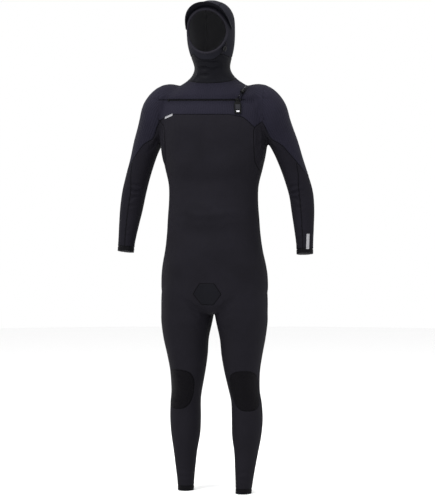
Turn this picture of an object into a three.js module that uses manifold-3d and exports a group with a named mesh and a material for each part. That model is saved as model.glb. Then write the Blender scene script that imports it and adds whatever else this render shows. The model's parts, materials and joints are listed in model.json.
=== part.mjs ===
// A hooded full wetsuit with a chest zip, as it hangs on a standing wearer.
// Millimetres, +Z up, the front faces -Y and the wearer's left is +X. The origin is the crotch point.
//
// The suit is one skin of neoprene: a column for trunk, neck and hood, two sleeves and two legs. The skin is
// hollowed, then parted along its glued seams into panels, and the zip, cords and tabs are added to it.
import * as THREE from "three";
import { mergeVertices } from "three/addons/utils/BufferGeometryUtils.js";
import Module from "manifold-3d";

const wasm = await Module();
wasm.setup();

// ---------- Driving dimensions ----------

const WALL = 5; // neoprene thickness
const KERF = 0.3; // gap left at each glued seam, and between pieces that touch
const CLEAR = 0.4; // running clearance of hard pieces that move

// Stations of the column: height above the crotch, full width, full depth, and how far its middle sits back.
const FORK = { height: -3, width: 40, depth: 90, back: 0 };
const SEAT_BASE = { height: 24, width: 300, depth: 200, back: 4 };
const HIP = { height: 95, width: 376, depth: 238, back: 6 };
const WAIST = { height: 390, width: 314, depth: 206, back: 0 };
const RIBS = { height: 530, width: 356, depth: 232, back: 2 };
const CHEST = { height: 655, width: 380, depth: 244, back: 2 };
const SHOULDER = { height: 762, width: 336, depth: 190, back: 2 };
const NECK_BASE = { height: 808, width: 172, depth: 150, back: -8 };
const NECK = { height: 850, width: 128, depth: 134, back: -26 };
const JAW = { height: 912, width: 152, depth: 184, back: -42 };
const HEAD = { height: 985, width: 164, depth: 208, back: -48 };
const BROW = { height: 1045, width: 142, depth: 184, back: -44 };
const CROWN = { height: 1084, width: 30, depth: 40, back: -40 };

// Stations of a leg, from the hem up: height, half the distance between the legs' middles, width, depth, back.
const INSEAM = 632;
const STRIDE = 20; // at its hem the left leg stands this far forward, and the right leg as far back
const ANKLE = { height: -INSEAM, out: 108, width: 56, depth: 68, back: 8 };
const LOW_CALF = { height: -500, out: 112, width: 82, depth: 92, back: 28 };
const CALF = { height: -385, out: 114, width: 107, depth: 116, back: 36 };
const KNEE = { height: -270, out: 105, width: 110, depth: 116, back: 22 };
const MID_THIGH = { height: -120, out: 100, width: 148, depth: 160, back: 6 };
const THIGH = { height: -30, out: 100, width: 176, depth: 196, back: 6 };
const LEG_TOP = { height: 90, out: 98, width: 164, depth: 200, back: 6 };

// Stations of a sleeve, from the hem up.
const WRIST = { height: 206, out: 321, width: 60, depth: 62, back: 8 };
const FOREARM = { height: 330, out: 311, width: 76, depth: 78, back: 30 };
const ELBOW = { height: 412, out: 300, width: 84, depth: 88, back: 46 };
const BICEP = { height: 540, out: 264, width: 90, depth: 98, back: 30 };
const SLEEVE_HEAD = { height: 655, out: 212, width: 116, depth: 124, back: 8 };
const DELTOID = { height: 702, out: 196, width: 122, depth: 128, back: 4 };
const SHOULDER_CAP = { height: 738, out: 166, width: 112, depth: 122, back: 2 };
const SHOULDER_TOP = { height: 751, out: 118, width: 84, depth: 100, back: 2 };

// Seams. Heights are above the crotch.
const COLLAR_FRONT = 791;
const COLLAR_BACK = 836;
const JAW_FRONT = 893;
const JAW_BACK = 884;
const CROWN_STRIP = 82; // width of the hood's middle strip
const FACE = { height: 984, width: 134, tall: 138 }; // face opening
const ARMHOLE = 185; // distance of the armhole seam from the middle
const ARMHOLE_BAND = 40; // stretch panel that follows the arm
const ARMPIT = 470; // lowest point that the armhole seam's plane reaches
const HIP_SLOPE = Math.atan(0.5); // rise of the leg opening's line towards the outside
const HIP_BAND = 130;
const KNEE_TOP = -196;
const KNEE_BOTTOM = -346;
const ELBOW_BAND = 104;
const HEM = 16; // height of the hem tapes
const BACK_YOKE = 628;
const SIDE_SEAM = 158; // distance of the side panel's seam from the middle

// Chest zip: an arc about an upright axis behind the chest.
const ZIP_HEIGHT = 738;
const ZIP_RADIUS = 300;
const ZIP_RIGHT = THREE.MathUtils.degToRad(-30);
const ZIP_LEFT = THREE.MathUtils.degToRad(22);
const SLOT = 12; // height of the gap between entry flap and zip panel
const CHAIN = { tall: 5, proud: 1.4 };
const STOP = 5; // width of the blocks that end the zip
const SLIDER = { wide: 13, tall: 10.5, thick: 4 };
const LOOP = { radius: 3, wire: 0.9, sunk: 0.5 }; // the slider's loop, standing in a plane across the zip
const TAB = { wide: 24, tall: 50, thick: 2.4, bar: 1.1, away: 3.5 };
const ZIP_PANEL_LOW = 688;

// Cords, cord locks and small trim.
const CORD = 3.2;
const LOCK = { across: 13, tall: 17, bore: 9.6, deep: 12, travel: 3, button: 5 };
const POST = 7; // width of the posts that tie a cord to the suit
const COLLAR_CORD = { top: [122, 780], bottom: [106, 748], stand: 3 };
const HOOD_CORD = { top: [62, 932], bottom: [50, 902], stand: 3 };
const VISOR = { reach: 36, ends: 12, thick: 4, out: 5, from: 6, to: 174 };
const BINDING = 6;
const MARK = { wide: 11, tall: 52, thick: 0.8 };
const BADGE = { wide: 34, tall: 8, thick: 0.8 };
const GUSSET = { height: 68, wide: 100, tall: 74 };
const SMOOTHING = 0.12; // how far simplifying may move a panel's surface
const OFFCUT = 60; // seams leave slivers smaller than this many cubic millimetres

const COLUMN_SIDES = 24;
const LIMB_SIDES = 14;

// ---------- Solids from three.js geometry ----------

const v3 = (x, y, z) => new THREE.Vector3(x, y, z);

function solid(geometry) {
  const bare = geometry.index ? geometry.toNonIndexed() : geometry.clone();
  const only = new THREE.BufferGeometry().setAttribute("position", bare.getAttribute("position"));
  const merged = mergeVertices(only, 1e-4);
  return new wasm.Manifold(
    new wasm.Mesh({
      numProp: 3,
      vertProperties: merged.attributes.position.array,
      triVerts: new Uint32Array(merged.index.array),
    }),
  );
}

function geometryOf(body) {
  const mesh = body.getMesh();
  return new THREE.BufferGeometry()
    .setAttribute("position", new THREE.BufferAttribute(new Float32Array(mesh.vertProperties), 3))
    .setIndex(new THREE.BufferAttribute(mesh.triVerts, 1));
}

const unite = (bodies) => bodies.reduce((whole, body) => whole.add(body));

// A closed skin over rings of equal length, each ring running anticlockwise seen from the next ring's side.
function loft(rings) {
  const count = rings[0].length;
  const middle = (ring) => ring.reduce((sum, p) => sum.add(p), v3(0, 0, 0)).divideScalar(count);
  const points = [...rings.flat(), middle(rings[0]), middle(rings.at(-1))];
  const bottom = rings.length * count;
  const index = [];
  for (let j = 0; j < count; j++) {
    const next = (j + 1) % count;
    for (let i = 0; i + 1 < rings.length; i++) {
      const a = i * count + j;
      const b = i * count + next;
      index.push(a, b, b + count, a, b + count, a + count);
    }
    const top = (rings.length - 1) * count;
    index.push(bottom, next, j, bottom + 1, top + j, top + next);
  }
  const geometry = new THREE.BufferGeometry().setFromPoints(points);
  return geometry.setIndex(index);
}

// A point on a rounded oval: power 1 is an ellipse, less is squarer.
function oval(turn, halfWidth, halfDepth, power = 1) {
  const soften = (value) => Math.sign(value) * Math.abs(value) ** power;
  return [halfWidth * soften(Math.cos(turn)), halfDepth * soften(Math.sin(turn))];
}

// ---------- The skin ----------

// Sizes between the stations follow a smooth curve through them.
function sizesAlong(stations, steps) {
  const through = (key) =>
    new THREE.CatmullRomCurve3(stations.map((s) => v3(s[key[0]] ?? 0, s[key[1]] ?? 0, s.height)));
  const size = through(["width", "depth"]);
  const place = through(["out", "back"]);
  return Array.from({ length: steps + 1 }, (_, i) => {
    const s = size.getPoint(i / steps);
    const p = place.getPoint(i / steps);
    return { width: s.x, depth: s.y, out: p.x, back: p.y, height: p.z };
  });
}

const COLUMN = [
  FORK, SEAT_BASE, HIP, WAIST, RIBS, CHEST, SHOULDER, NECK_BASE, NECK, JAW, HEAD, BROW, CROWN,
];
const LEG = [ANKLE, LOW_CALF, CALF, KNEE, MID_THIGH, THIGH, LEG_TOP];
const SLEEVE = [WRIST, FOREARM, ELBOW, BICEP, SLEEVE_HEAD, DELTOID, SHOULDER_CAP, SHOULDER_TOP];
const SQUARENESS = 0.86;

function column(inset) {
  const rings = sizesAlong(COLUMN, 2 * (COLUMN.length - 1)).map((s) =>
    Array.from({ length: COLUMN_SIDES }, (_, j) => {
      const power = s.height < SHOULDER.height ? SQUARENESS : 1;
      const turn = (2 * Math.PI * j) / COLUMN_SIDES;
      const halves = [s.width, s.depth].map((full) => Math.max(full / 2 - inset, 1));
      const [x, y] = oval(turn, halves[0], halves[1], power);
      return v3(x, y + s.back, s.height);
    }),
  );
  const lowest = FORK.height + inset;
  const highest = CROWN.height - inset;
  rings.flat().forEach((p) => (p.z = THREE.MathUtils.clamp(p.z, lowest, highest)));
  const flat = (ring) => ring.every((p) => p.z === lowest) || ring.every((p) => p.z === highest);
  const kept = rings.filter((ring, i) => !(flat(ring) && i > 0 && i < rings.length - 1));
  return solid(loft(kept));
}

const strideAt = (height, side) => (side * STRIDE * Math.min(height, 0)) / INSEAM;

// A leg's rings lie level. A sleeve's stand square to its middle line, so that its hem does too.
function limb(stations, side, inset, level) {
  const sizes = sizesAlong(stations, 2 * (stations.length - 1));
  const middles = sizes.map((s) => v3(side * s.out, s.back + (level ? strideAt(s.height, side) : 0), s.height));
  const along = (i) => {
    const from = middles[Math.max(i - 1, 0)];
    const to = middles[Math.min(i + 1, middles.length - 1)];
    return level ? v3(0, 0, 1) : to.clone().sub(from).normalize();
  };
  const rings = sizes.map((s, i) => {
    const up = along(i);
    const across = v3(0, 1, 0).cross(up).normalize();
    const deep = up.clone().cross(across);
    return Array.from({ length: LIMB_SIDES }, (_, j) => {
      const turn = (2 * Math.PI * j) / LIMB_SIDES;
      const [a, b] = oval(turn, s.width / 2 - inset, s.depth / 2 - inset);
      return middles[i].clone().addScaledVector(across, a).addScaledVector(deep, b);
    });
  });
  if (inset > 0) {
    const beyond = along(0).clone().multiplyScalar(-WALL);
    rings.unshift(rings[0].map((p) => p.clone().add(beyond)));
  }
  return solid(loft(rings));
}

const SIDES = [
  { name: "left", sign: 1 },
  { name: "right", sign: -1 },
];

function form(inset) {
  const limbs = SIDES.flatMap(({ sign }) => [
    limb(LEG, sign, inset, true),
    limb(SLEEVE, sign, inset, false),
  ]);
  return unite([column(inset), ...limbs]);
}

// ---------- Cutters ----------

// A flat sheet, its face along `normal` at `at`: `first` runs along Y, or along Z if the sheet faces Y.
function sheet(at, normal, first, second) {
  const z = normal.clone().normalize();
  const x = Math.abs(z.y) > 0.9 ? v3(0, 0, 1) : v3(0, 1, 0);
  const y = z.clone().cross(x).normalize();
  const square = y.clone().cross(z);
  const box = new THREE.BoxGeometry(first, second, KERF);
  return solid(box.applyMatrix4(new THREE.Matrix4().makeBasis(square, y, z).setPosition(at)));
}

// An outline drawn in front view, [x, z] pairs, extruded from y = near to y = far.
function frontPrism(outline, near, far) {
  const shape = new THREE.Shape(outline.map(([x, z]) => new THREE.Vector2(x, z)));
  const extruded = new THREE.ExtrudeGeometry(shape, { depth: far - near, bevelEnabled: false });
  extruded.applyMatrix4(new THREE.Matrix4().makeRotationX(Math.PI / 2)).translate(0, far, 0);
  return solid(extruded);
}

const FRONT = -260;
const BACK = 260;
const mirrored = (line) => line.map(([x, z]) => [-x, z]);
const lineFor = (line, sign) => (sign > 0 ? line : mirrored(line));

// A cut of width KERF along a line drawn in front view.
function seam(line, near = FRONT, far = BACK) {
  const offset = (by) =>
    line.map(([x, z], i) => {
      const [ax, az] = line[Math.max(i - 1, 0)];
      const [bx, bz] = line[Math.min(i + 1, line.length - 1)];
      const length = Math.hypot(bx - ax, bz - az);
      return [x - ((bz - az) / length) * by, z + ((bx - ax) / length) * by];
    });
  return frontPrism([...offset(-KERF / 2), ...offset(KERF / 2).reverse()], near, far);
}

// A cut of width KERF round an outline drawn in front view, about `middle`.
function seamRound(outline, middle, size, near, far) {
  const share = 1 - (2 * KERF) / size;
  const less = outline.map((p) => p.map((value, k) => middle[k] + (value - middle[k]) * share));
  return frontPrism(outline, near, far).subtract(frontPrism(less, near - 1, far + 1));
}

function ovalOutline(middle, wide, tall, points) {
  return Array.from({ length: points }, (_, i) => {
    const turn = (2 * Math.PI * i) / points;
    return [middle[0] + (wide / 2) * Math.cos(turn), middle[1] + (tall / 2) * Math.sin(turn)];
  });
}

function rectangle(middle, wide, tall) {
  const [x, z] = middle;
  return [
    [x - wide / 2, z - tall / 2],
    [x + wide / 2, z - tall / 2],
    [x + wide / 2, z + tall / 2],
    [x - wide / 2, z + tall / 2],
  ];
}

// ---------- Places on the skin ----------

const COLUMN_SIZES = sizesAlong(COLUMN, 180);

// The column's front face at a distance from the middle and a height.
function frontY(x, height) {
  const near = (a, b) => (Math.abs(a.height - height) < Math.abs(b.height - height) ? a : b);
  const s = COLUMN_SIZES.reduce(near);
  const power = height < SHOULDER.height ? SQUARENESS : 1;
  const share = Math.min((2 * Math.abs(x)) / s.width, 1) ** (1 / power);
  return s.back - (s.depth / 2) * Math.sqrt(1 - share * share) ** power;
}

// A point that stands off the column's front face, square to it.
function offFront([x, z], stand) {
  const slope = (dx, dz) => (frontY(x + dx, z + dz) - frontY(x - dx, z - dz)) / (2 * (dx + dz));
  const normal = v3(slope(4, 0), -1, slope(0, 12)).normalize();
  return v3(x, frontY(x, z), z).addScaledVector(normal, stand);
}

const mark = (s) => v3(s.out, s.back, s.height);
const between = (a, b) => mark(a).add(mark(b)).multiplyScalar(0.5);
const along = (a, b) => mark(b).sub(mark(a)).normalize();
const forSide = (vector, sign) => v3(sign * vector.x, vector.y, vector.z);
const ELBOW_AXIS = along(FOREARM, BICEP);
const WRIST_AXIS = along(WRIST, FOREARM);

// ---------- Seams ----------

const ZIP_AXIS = v3(0, frontY(0, ZIP_HEIGHT) + ZIP_RADIUS, ZIP_HEIGHT);
const zipX = (turn) => ZIP_RADIUS * Math.sin(turn);
const FLAP_EDGE = [
  [zipX(ZIP_LEFT) + 3, ZIP_HEIGHT],
  [122, 766],
  [134, 790],
  [142, 830],
];
const ZIP_PANEL_EDGE = [
  [-ARMHOLE, ZIP_PANEL_LOW - 24],
  [-SIDE_SEAM, ZIP_PANEL_LOW - 9],
  [-122, ZIP_PANEL_LOW],
  [84, ZIP_PANEL_LOW],
  [126, ZIP_PANEL_LOW - 9],
  [SIDE_SEAM, ZIP_PANEL_LOW - 42],
];
const SIDE_TIP = [WAIST.width / 2 + 22, (WAIST.height + RIBS.height) / 2 - 8];
const SIDE_PANEL_EDGE = [[ARMHOLE, ZIP_PANEL_LOW - 24], [SIDE_SEAM, ZIP_PANEL_LOW - 42], [SIDE_SEAM, RIBS.height], SIDE_TIP];
const SIDE_PANEL_LOW = SIDE_TIP[1] + 48; // the panel's lower point wraps the side here
const SHOULDER_PANEL_EDGE = [
  [ARMHOLE - 1, ZIP_PANEL_LOW - 24],
  [206, 604],
  [246, 584],
  [290, 530],
  [336, ELBOW.height + ELBOW_BAND / 2],
];
const GUSSET_OUTLINE = [
  [-0.26, 0.5],
  [-0.5, 0],
  [-0.2, -0.5],
  [0.2, -0.5],
  [0.5, 0],
  [0.26, 0.5],
].map(([x, z]) => [x * GUSSET.wide, GUSSET.height + z * GUSSET.tall]);

function trunkCuts() {
  const tilted = (front, back, depth) => v3(0, front - back, depth).normalize();
  const upright = (x, y, z, deep, tall) => sheet(v3(x, y, z), v3(1, 0, 0), deep, tall);
  const acrossMiddle = (x, low, high, wide) =>
    sheet(v3(x, 0, (low + high) / 2), v3(0, 1, 0), high - low, wide);
  const slot = rectangle(
    [(zipX(ZIP_RIGHT) + zipX(ZIP_LEFT)) / 2, ZIP_HEIGHT],
    zipX(ZIP_LEFT) - zipX(ZIP_RIGHT) + 8,
    SLOT,
  );
  const collar = v3(0, NECK_BASE.back, (COLLAR_FRONT + COLLAR_BACK) / 2);
  const jaw = v3(0, JAW.back, (JAW_FRONT + JAW_BACK) / 2);
  const hoodTop = CROWN.height + 20;
  return [
    sheet(collar, tilted(COLLAR_FRONT, COLLAR_BACK, NECK_BASE.depth), 260, 250),
    sheet(jaw, tilted(JAW_FRONT, JAW_BACK, JAW.depth), 260, 250),
    ...SIDES.flatMap(({ sign }) => [
      upright((sign * CROWN_STRIP) / 2, 0, (HEAD.height + hoodTop) / 2, 400, hoodTop - HEAD.height),
      upright((sign * CROWN_STRIP) / 2, 160, (JAW_BACK + hoodTop) / 2, 400, hoodTop - JAW_BACK + 6),
      upright(sign * ARMHOLE, 0, (ARMPIT + COLLAR_BACK) / 2, 400, COLLAR_BACK - ARMPIT),
      acrossMiddle(sign * SIDE_SEAM, -20, SIDE_PANEL_LOW, 100),
      seam(lineFor(SIDE_PANEL_EDGE, sign)),
      seam(lineFor(SHOULDER_PANEL_EDGE, sign)),
    ]),
    upright(0, -200, JAW_FRONT + 10, 300, 40),
    acrossMiddle(0, ZIP_PANEL_LOW - 28, JAW_BACK + 3, 2 * ARMHOLE),
    acrossMiddle(0, -30, 30, 60),
    frontPrism(slot, FRONT, 0),
    seam([[-ARMHOLE, ZIP_HEIGHT], [zipX(ZIP_RIGHT), ZIP_HEIGHT]], FRONT, 0),
    seam([[126, ZIP_PANEL_LOW - 9], [126, ZIP_HEIGHT + 1], [zipX(ZIP_LEFT), ZIP_HEIGHT + 1]], FRONT, 0),
    seam(FLAP_EDGE, FRONT, 0),
    seam(ZIP_PANEL_EDGE, FRONT, 0),
    sheet(v3(0, BACK / 2, BACK_YOKE), v3(0, 0, 1), BACK, 2 * SIDE_SEAM),
    seamRound(GUSSET_OUTLINE, [0, GUSSET.height], GUSSET.wide, FRONT, 0),
  ];
}

function sleeveCuts(sign) {
  const across = (at, axis) => sheet(forSide(at, sign), forSide(axis, sign), 190, 190);
  const elbow = (share) => mark(ELBOW).addScaledVector(ELBOW_AXIS, share * ELBOW_BAND);
  return [
    sheet(v3(sign * (ARMHOLE + ARMHOLE_BAND), 0, CHEST.height), v3(1, 0, 0), 400, 280),
    across(elbow(0.5), ELBOW_AXIS),
    across(elbow(-0.5), ELBOW_AXIS),
    across(mark(WRIST).addScaledVector(WRIST_AXIS, HEM), WRIST_AXIS),
  ];
}

// The leg opening rises outwards from the crotch, and the hip panel ends at a line alongside it.
const OPENING = [
  [0, FORK.height],
  [HIP.width / 2 + 20, FORK.height + (HIP.width / 2 + 20) * Math.tan(HIP_SLOPE)],
];
const HIP_LINE = [[22, -142], [212, -47]];

function legCuts(sign) {
  const level = (height) => sheet(v3(sign * KNEE.out, 0, height), v3(0, 0, 1), 260, 180);
  return [
    seam(lineFor(OPENING, sign)),
    seam(lineFor(HIP_LINE, sign)),
    level(KNEE_TOP),
    level(KNEE_BOTTOM),
    level(HEM - INSEAM),
    sheet(
      v3(sign * KNEE.out, KNEE.back, (KNEE_TOP + KNEE_BOTTOM) / 2),
      v3(0, 1, 0),
      KNEE_TOP - KNEE_BOTTOM,
      180,
    ),
  ];
}

// ---------- Panels, named by the place nearest the middle of their bounds ----------

function panelPlaces() {
  const hood = (JAW_BACK + CROWN.height) / 2;
  const neck = (COLLAR_BACK + JAW_BACK) / 2;
  const chestFront = CHEST.back - CHEST.depth / 4;
  const bodyMiddle = (ZIP_PANEL_LOW + FORK.height) / 2;
  const places = {
    hood_crown_panel: v3(0, HEAD.back + 12, hood),
    neck_front_panel: v3(0, JAW.back - 20, neck - 20),
    neck_back_panel: v3(0, NECK.back + 50, neck),
    entry_flap: v3(zipX(ZIP_RIGHT) / 6, chestFront + 10, ZIP_HEIGHT + 40),
    chest_zip_panel: v3(zipX(ZIP_RIGHT) / 5, chestFront, (ZIP_PANEL_LOW + ZIP_HEIGHT) / 2),
    left_chest_panel: v3((ARMHOLE + 114) / 2, chestFront + 10, (ZIP_PANEL_LOW + ZIP_HEIGHT) / 2),
    back_yoke_panel: v3(0, CHEST.depth / 4, (BACK_YOKE + COLLAR_BACK) / 2),
    front_body_panel: v3(0, -CHEST.depth / 4, bodyMiddle),
    back_body_panel: v3(0, CHEST.depth / 4, (BACK_YOKE + FORK.height) / 2),
    gusset_panel: v3(0, -HIP.depth / 2, GUSSET.height),
  };
  for (const { name, sign } of SIDES) {
    const put = (piece, at) => (places[`${name}_${piece}`] = forSide(at, sign));
    const bandOut = ARMHOLE + ARMHOLE_BAND / 2;
    put("hood_side_panel", v3(HEAD.width / 4, HEAD.back, hood));
    put("body_side_panel", v3((ARMHOLE + SIDE_SEAM) / 2, CHEST.back, (SIDE_TIP[1] + ZIP_PANEL_LOW) / 2));
    put("armhole_panel", v3(bandOut, CHEST.back + 6, CHEST.height + 20));
    put("armpit_panel", v3(bandOut, CHEST.back + 10, RIBS.height + 36));
    put("upper_sleeve", between(BICEP, SLEEVE_HEAD).add(v3(40, 0, 0)));
    put("underarm_panel", between(BICEP, ELBOW).add(v3(-22, 0, 26)));
    put("elbow_panel", mark(ELBOW));
    put("forearm_sleeve", between(FOREARM, WRIST).add(v3(0, 0, 30)));
    put("wrist_cuff", mark(WRIST));
    put("hip_panel", v3(THIGH.out, THIGH.back, THIGH.height));
    put("thigh_panel", v3(THIGH.out, THIGH.back, (MID_THIGH.height + KNEE_TOP) / 2));
    put("knee_pad", mark(KNEE).add(v3(0, -KNEE.depth / 4, 0)));
    put("knee_back_panel", mark(KNEE).add(v3(0, KNEE.depth / 4, 0)));
    put("lower_leg", v3(CALF.out, CALF.back, (KNEE_BOTTOM - INSEAM) / 2));
    put("ankle_cuff", mark(ANKLE));
  }
  return places;
}

function middleOf(body) {
  const { min, max } = body.boundingBox();
  return v3(min[0] + max[0], min[1] + max[1], min[2] + max[2]).multiplyScalar(0.5);
}

function namedPanels(panels, places) {
  const pairs = panels.flatMap((panel) => {
    const middle = middleOf(panel);
    return Object.entries(places).map(([name, at]) => ({ name, panel, apart: at.distanceTo(middle) }));
  });
  const named = new Map();
  const taken = new Set();
  for (const { name, panel } of pairs.sort((a, b) => a.apart - b.apart)) {
    if (named.has(name) || taken.has(panel)) continue;
    named.set(name, panel);
    taken.add(panel);
  }
  if (panels.length !== Object.keys(places).length) {
    throw new Error(`${panels.length} panels for ${Object.keys(places).length} names`);
  }
  return Object.fromEntries(named);
}

// ---------- Trim and hardware ----------

// A bar that follows the zip's arc. Its section is [distance from the arc outwards, height] pairs.
function zipBar(section, from, to, steps) {
  const rings = Array.from({ length: steps + 1 }, (_, i) => {
    const turn = from + ((to - from) * i) / steps;
    return section.map(([out, up]) => {
      const radius = ZIP_RADIUS + out;
      return v3(radius * Math.sin(turn), ZIP_AXIS.y - radius * Math.cos(turn), ZIP_HEIGHT + up);
    });
  });
  return loft(rings);
}

const zipSection = (near, far, tall) => [
  [near, -tall / 2],
  [near, tall / 2],
  [far, tall / 2],
  [far, -tall / 2],
];
const degreesOfZip = (length) => length / ZIP_RADIUS;
const SLIDER_TURN = ZIP_LEFT - degreesOfZip(STOP + SLIDER.wide / 2 + 1);
const CHAIN_FACE = -0.6; // the tape's face lies this far outside the arc

function zipPieces() {
  const tapeTall = SLOT - 2 * KERF;
  const tape = solid(zipBar(zipSection(-WALL, CHAIN_FACE, tapeTall), ZIP_RIGHT, ZIP_LEFT, 14));
  const chainFrom = ZIP_RIGHT + degreesOfZip(STOP + CLEAR);
  const chainTo = ZIP_LEFT - degreesOfZip(STOP + CLEAR);
  const chainSection = zipSection(CHAIN_FACE + KERF, CHAIN_FACE + KERF + CHAIN.proud, CHAIN.tall);
  const proud = CHAIN_FACE + KERF + CHAIN.proud + 1.2;
  const block = zipSection(CHAIN_FACE + KERF, proud, SLIDER.tall);
  const half = degreesOfZip(SLIDER.wide / 2);
  const base = CHAIN_FACE + KERF;
  const roof = base + CHAIN.proud + CLEAR;
  const saddle = solid(
    zipBar(zipSection(base, roof + SLIDER.thick / 2, SLIDER.tall), SLIDER_TURN - half, SLIDER_TURN + half, 4),
  );
  const channel = solid(
    zipBar(zipSection(base - 2, roof, CHAIN.tall + 2 * CLEAR), SLIDER_TURN - 2 * half, SLIDER_TURN + 2 * half, 4),
  );
  const loop = solid(new THREE.TorusGeometry(LOOP.radius, LOOP.wire, 8, 16))
    .rotate([0, 90, THREE.MathUtils.radToDeg(SLIDER_TURN)])
    .translate(TAB_PIVOT.toArray());
  return {
    zip_tape: tape,
    zip_chain: solid(zipBar(chainSection, chainFrom, chainTo, 14)),
    zip_stop_right: solid(zipBar(block, ZIP_RIGHT, ZIP_RIGHT + degreesOfZip(STOP), 1)),
    zip_stop_left: solid(zipBar(block, ZIP_LEFT - degreesOfZip(STOP), ZIP_LEFT, 1)),
    zip_slider: saddle.subtract(channel).add(loop),
  };
}

// The tab's top bar sits inside the loop. The tab hangs from it, over the chest and clear of it.
const TAB_PIVOT = (() => {
  const face = CHAIN_FACE + KERF + CHAIN.proud + CLEAR + SLIDER.thick / 2;
  const radius = ZIP_RADIUS + face + LOOP.radius - LOOP.sunk;
  return v3(radius * Math.sin(SLIDER_TURN), ZIP_AXIS.y - radius * Math.cos(SLIDER_TURN), ZIP_HEIGHT);
})();

function pullTab() {
  const { wide, tall, thick, bar, away } = TAB;
  const half = wide / 2;
  const outline = new THREE.Shape();
  outline.moveTo(-3, bar).lineTo(3, bar).lineTo(5, -5).lineTo(half, -11).lineTo(half, 3 - tall);
  outline.lineTo(half - 3, -tall).lineTo(3 - half, -tall).lineTo(-half, 3 - tall).lineTo(-half, -11).lineTo(-5, -5);
  const eyeTall = 2 * (LOOP.wire + CLEAR) + LOOP.radius - LOOP.wire - bar;
  const eye = rectangle([0, -bar - eyeTall / 2], 2 * (LOOP.wire + CLEAR), eyeTall);
  outline.holes.push(new THREE.Path(eye.map(([x, z]) => new THREE.Vector2(x, z))));
  const plate = new THREE.ExtrudeGeometry(outline, { depth: thick, bevelEnabled: false });
  plate.translate(0, 0, -thick / 2);
  const low = offFront([TAB_PIVOT.x, ZIP_HEIGHT - tall], away + thick / 2);
  const across = v3(Math.cos(SLIDER_TURN), Math.sin(SLIDER_TURN), 0);
  const up = TAB_PIVOT.clone().sub(low).projectOnPlane(across).normalize();
  const out = across.clone().cross(up);
  return plate.applyMatrix4(new THREE.Matrix4().makeBasis(across, up, out).setPosition(TAB_PIVOT));
}

// A straight cord tied to the suit by a post at each end, with a lock threaded on it.
function cordSet({ top, bottom, stand }) {
  const off = LOCK.across / 2 + stand;
  const [high, low] = [offFront(top, off), offFront(bottom, off)];
  const axis = high.clone().sub(low);
  const length = axis.length();
  axis.normalize();
  const turned = (direction) =>
    new THREE.Matrix4().makeRotationFromQuaternion(
      new THREE.Quaternion().setFromUnitVectors(v3(0, 1, 0), direction),
    );
  const place = (geometry, lift) =>
    geometry.applyMatrix4(turned(axis)).translate(...low.clone().addScaledVector(axis, lift).toArray());
  const lathe = (profile, lift) =>
    place(new THREE.LatheGeometry(profile.map(([r, y]) => new THREE.Vector2(r, y)), 14), lift);
  const post = (at, foot) => {
    const into = foot.clone().sub(at).normalize();
    const rod = new THREE.CylinderGeometry(POST / 2, POST / 2, 2 * off, 10).translate(0, off - POST / 2, 0);
    return solid(rod.applyMatrix4(turned(into)).translate(...at.toArray()));
  };
  const tie = solid(place(new THREE.CylinderGeometry(CORD / 2, CORD / 2, length, 12), length / 2));
  const posts = post(low, offFront(bottom, 0)).add(post(high, offFront(top, 0)));
  const tube = CORD / 2 + KERF;
  const r = LOCK.across / 2;
  const barrel = [
    [tube, 0],
    [r - 1.5, 0],
    [r, 1.5],
    [r, LOCK.deep],
    [LOCK.bore / 2, LOCK.deep],
    [LOCK.bore / 2, 3],
    [tube, 3],
    [tube, 0],
  ];
  const b = LOCK.bore / 2 - CLEAR;
  const foot = 3 + LOCK.travel + 0.6;
  const button = [
    [tube, foot],
    [b, foot],
    [b, LOCK.tall - 1],
    [b - 1, LOCK.tall],
    [tube, LOCK.tall],
    [tube, foot],
  ];
  const start = (length - LOCK.tall) / 2;
  return {
    cord: tie.add(posts).subtract(form(-KERF)),
    barrel: lathe(barrel, start),
    button: lathe(button, start),
  };
}

// A closed tube through points, its section round.
function hoop(points, radius, sides) {
  const centre = points.reduce((sum, p) => sum.add(p), v3(0, 0, 0)).divideScalar(points.length);
  const vertices = points.flatMap((point, i) => {
    const ahead = points[(i + 1) % points.length];
    const behind = points[(i + points.length - 1) % points.length];
    const tangent = ahead.clone().sub(behind).normalize();
    const out = point.clone().sub(centre).projectOnPlane(tangent).normalize();
    const side = tangent.clone().cross(out);
    return Array.from({ length: sides }, (_, j) => {
      const turn = (2 * Math.PI * j) / sides;
      return point.clone().addScaledVector(out, radius * Math.cos(turn)).addScaledVector(side, radius * Math.sin(turn));
    });
  });
  const index = [];
  for (let i = 0; i < points.length; i++) {
    for (let j = 0; j < sides; j++) {
      const a = i * sides + j;
      const b = i * sides + ((j + 1) % sides);
      const c = ((i + 1) % points.length) * sides + ((j + 1) % sides);
      const d = ((i + 1) % points.length) * sides + j;
      index.push(a, b, c, a, c, d);
    }
  }
  return new THREE.BufferGeometry().setFromPoints(vertices).setIndex(index);
}

function faceBinding() {
  const inset = BINDING + 2 * KERF;
  const edge = ovalOutline([0, FACE.height], FACE.width - inset, FACE.tall - inset, 28);
  return hoop(edge.map(([x, z]) => v3(x, frontY(x, z) + WALL / 2, z)), BINDING / 2, 8);
}

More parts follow.
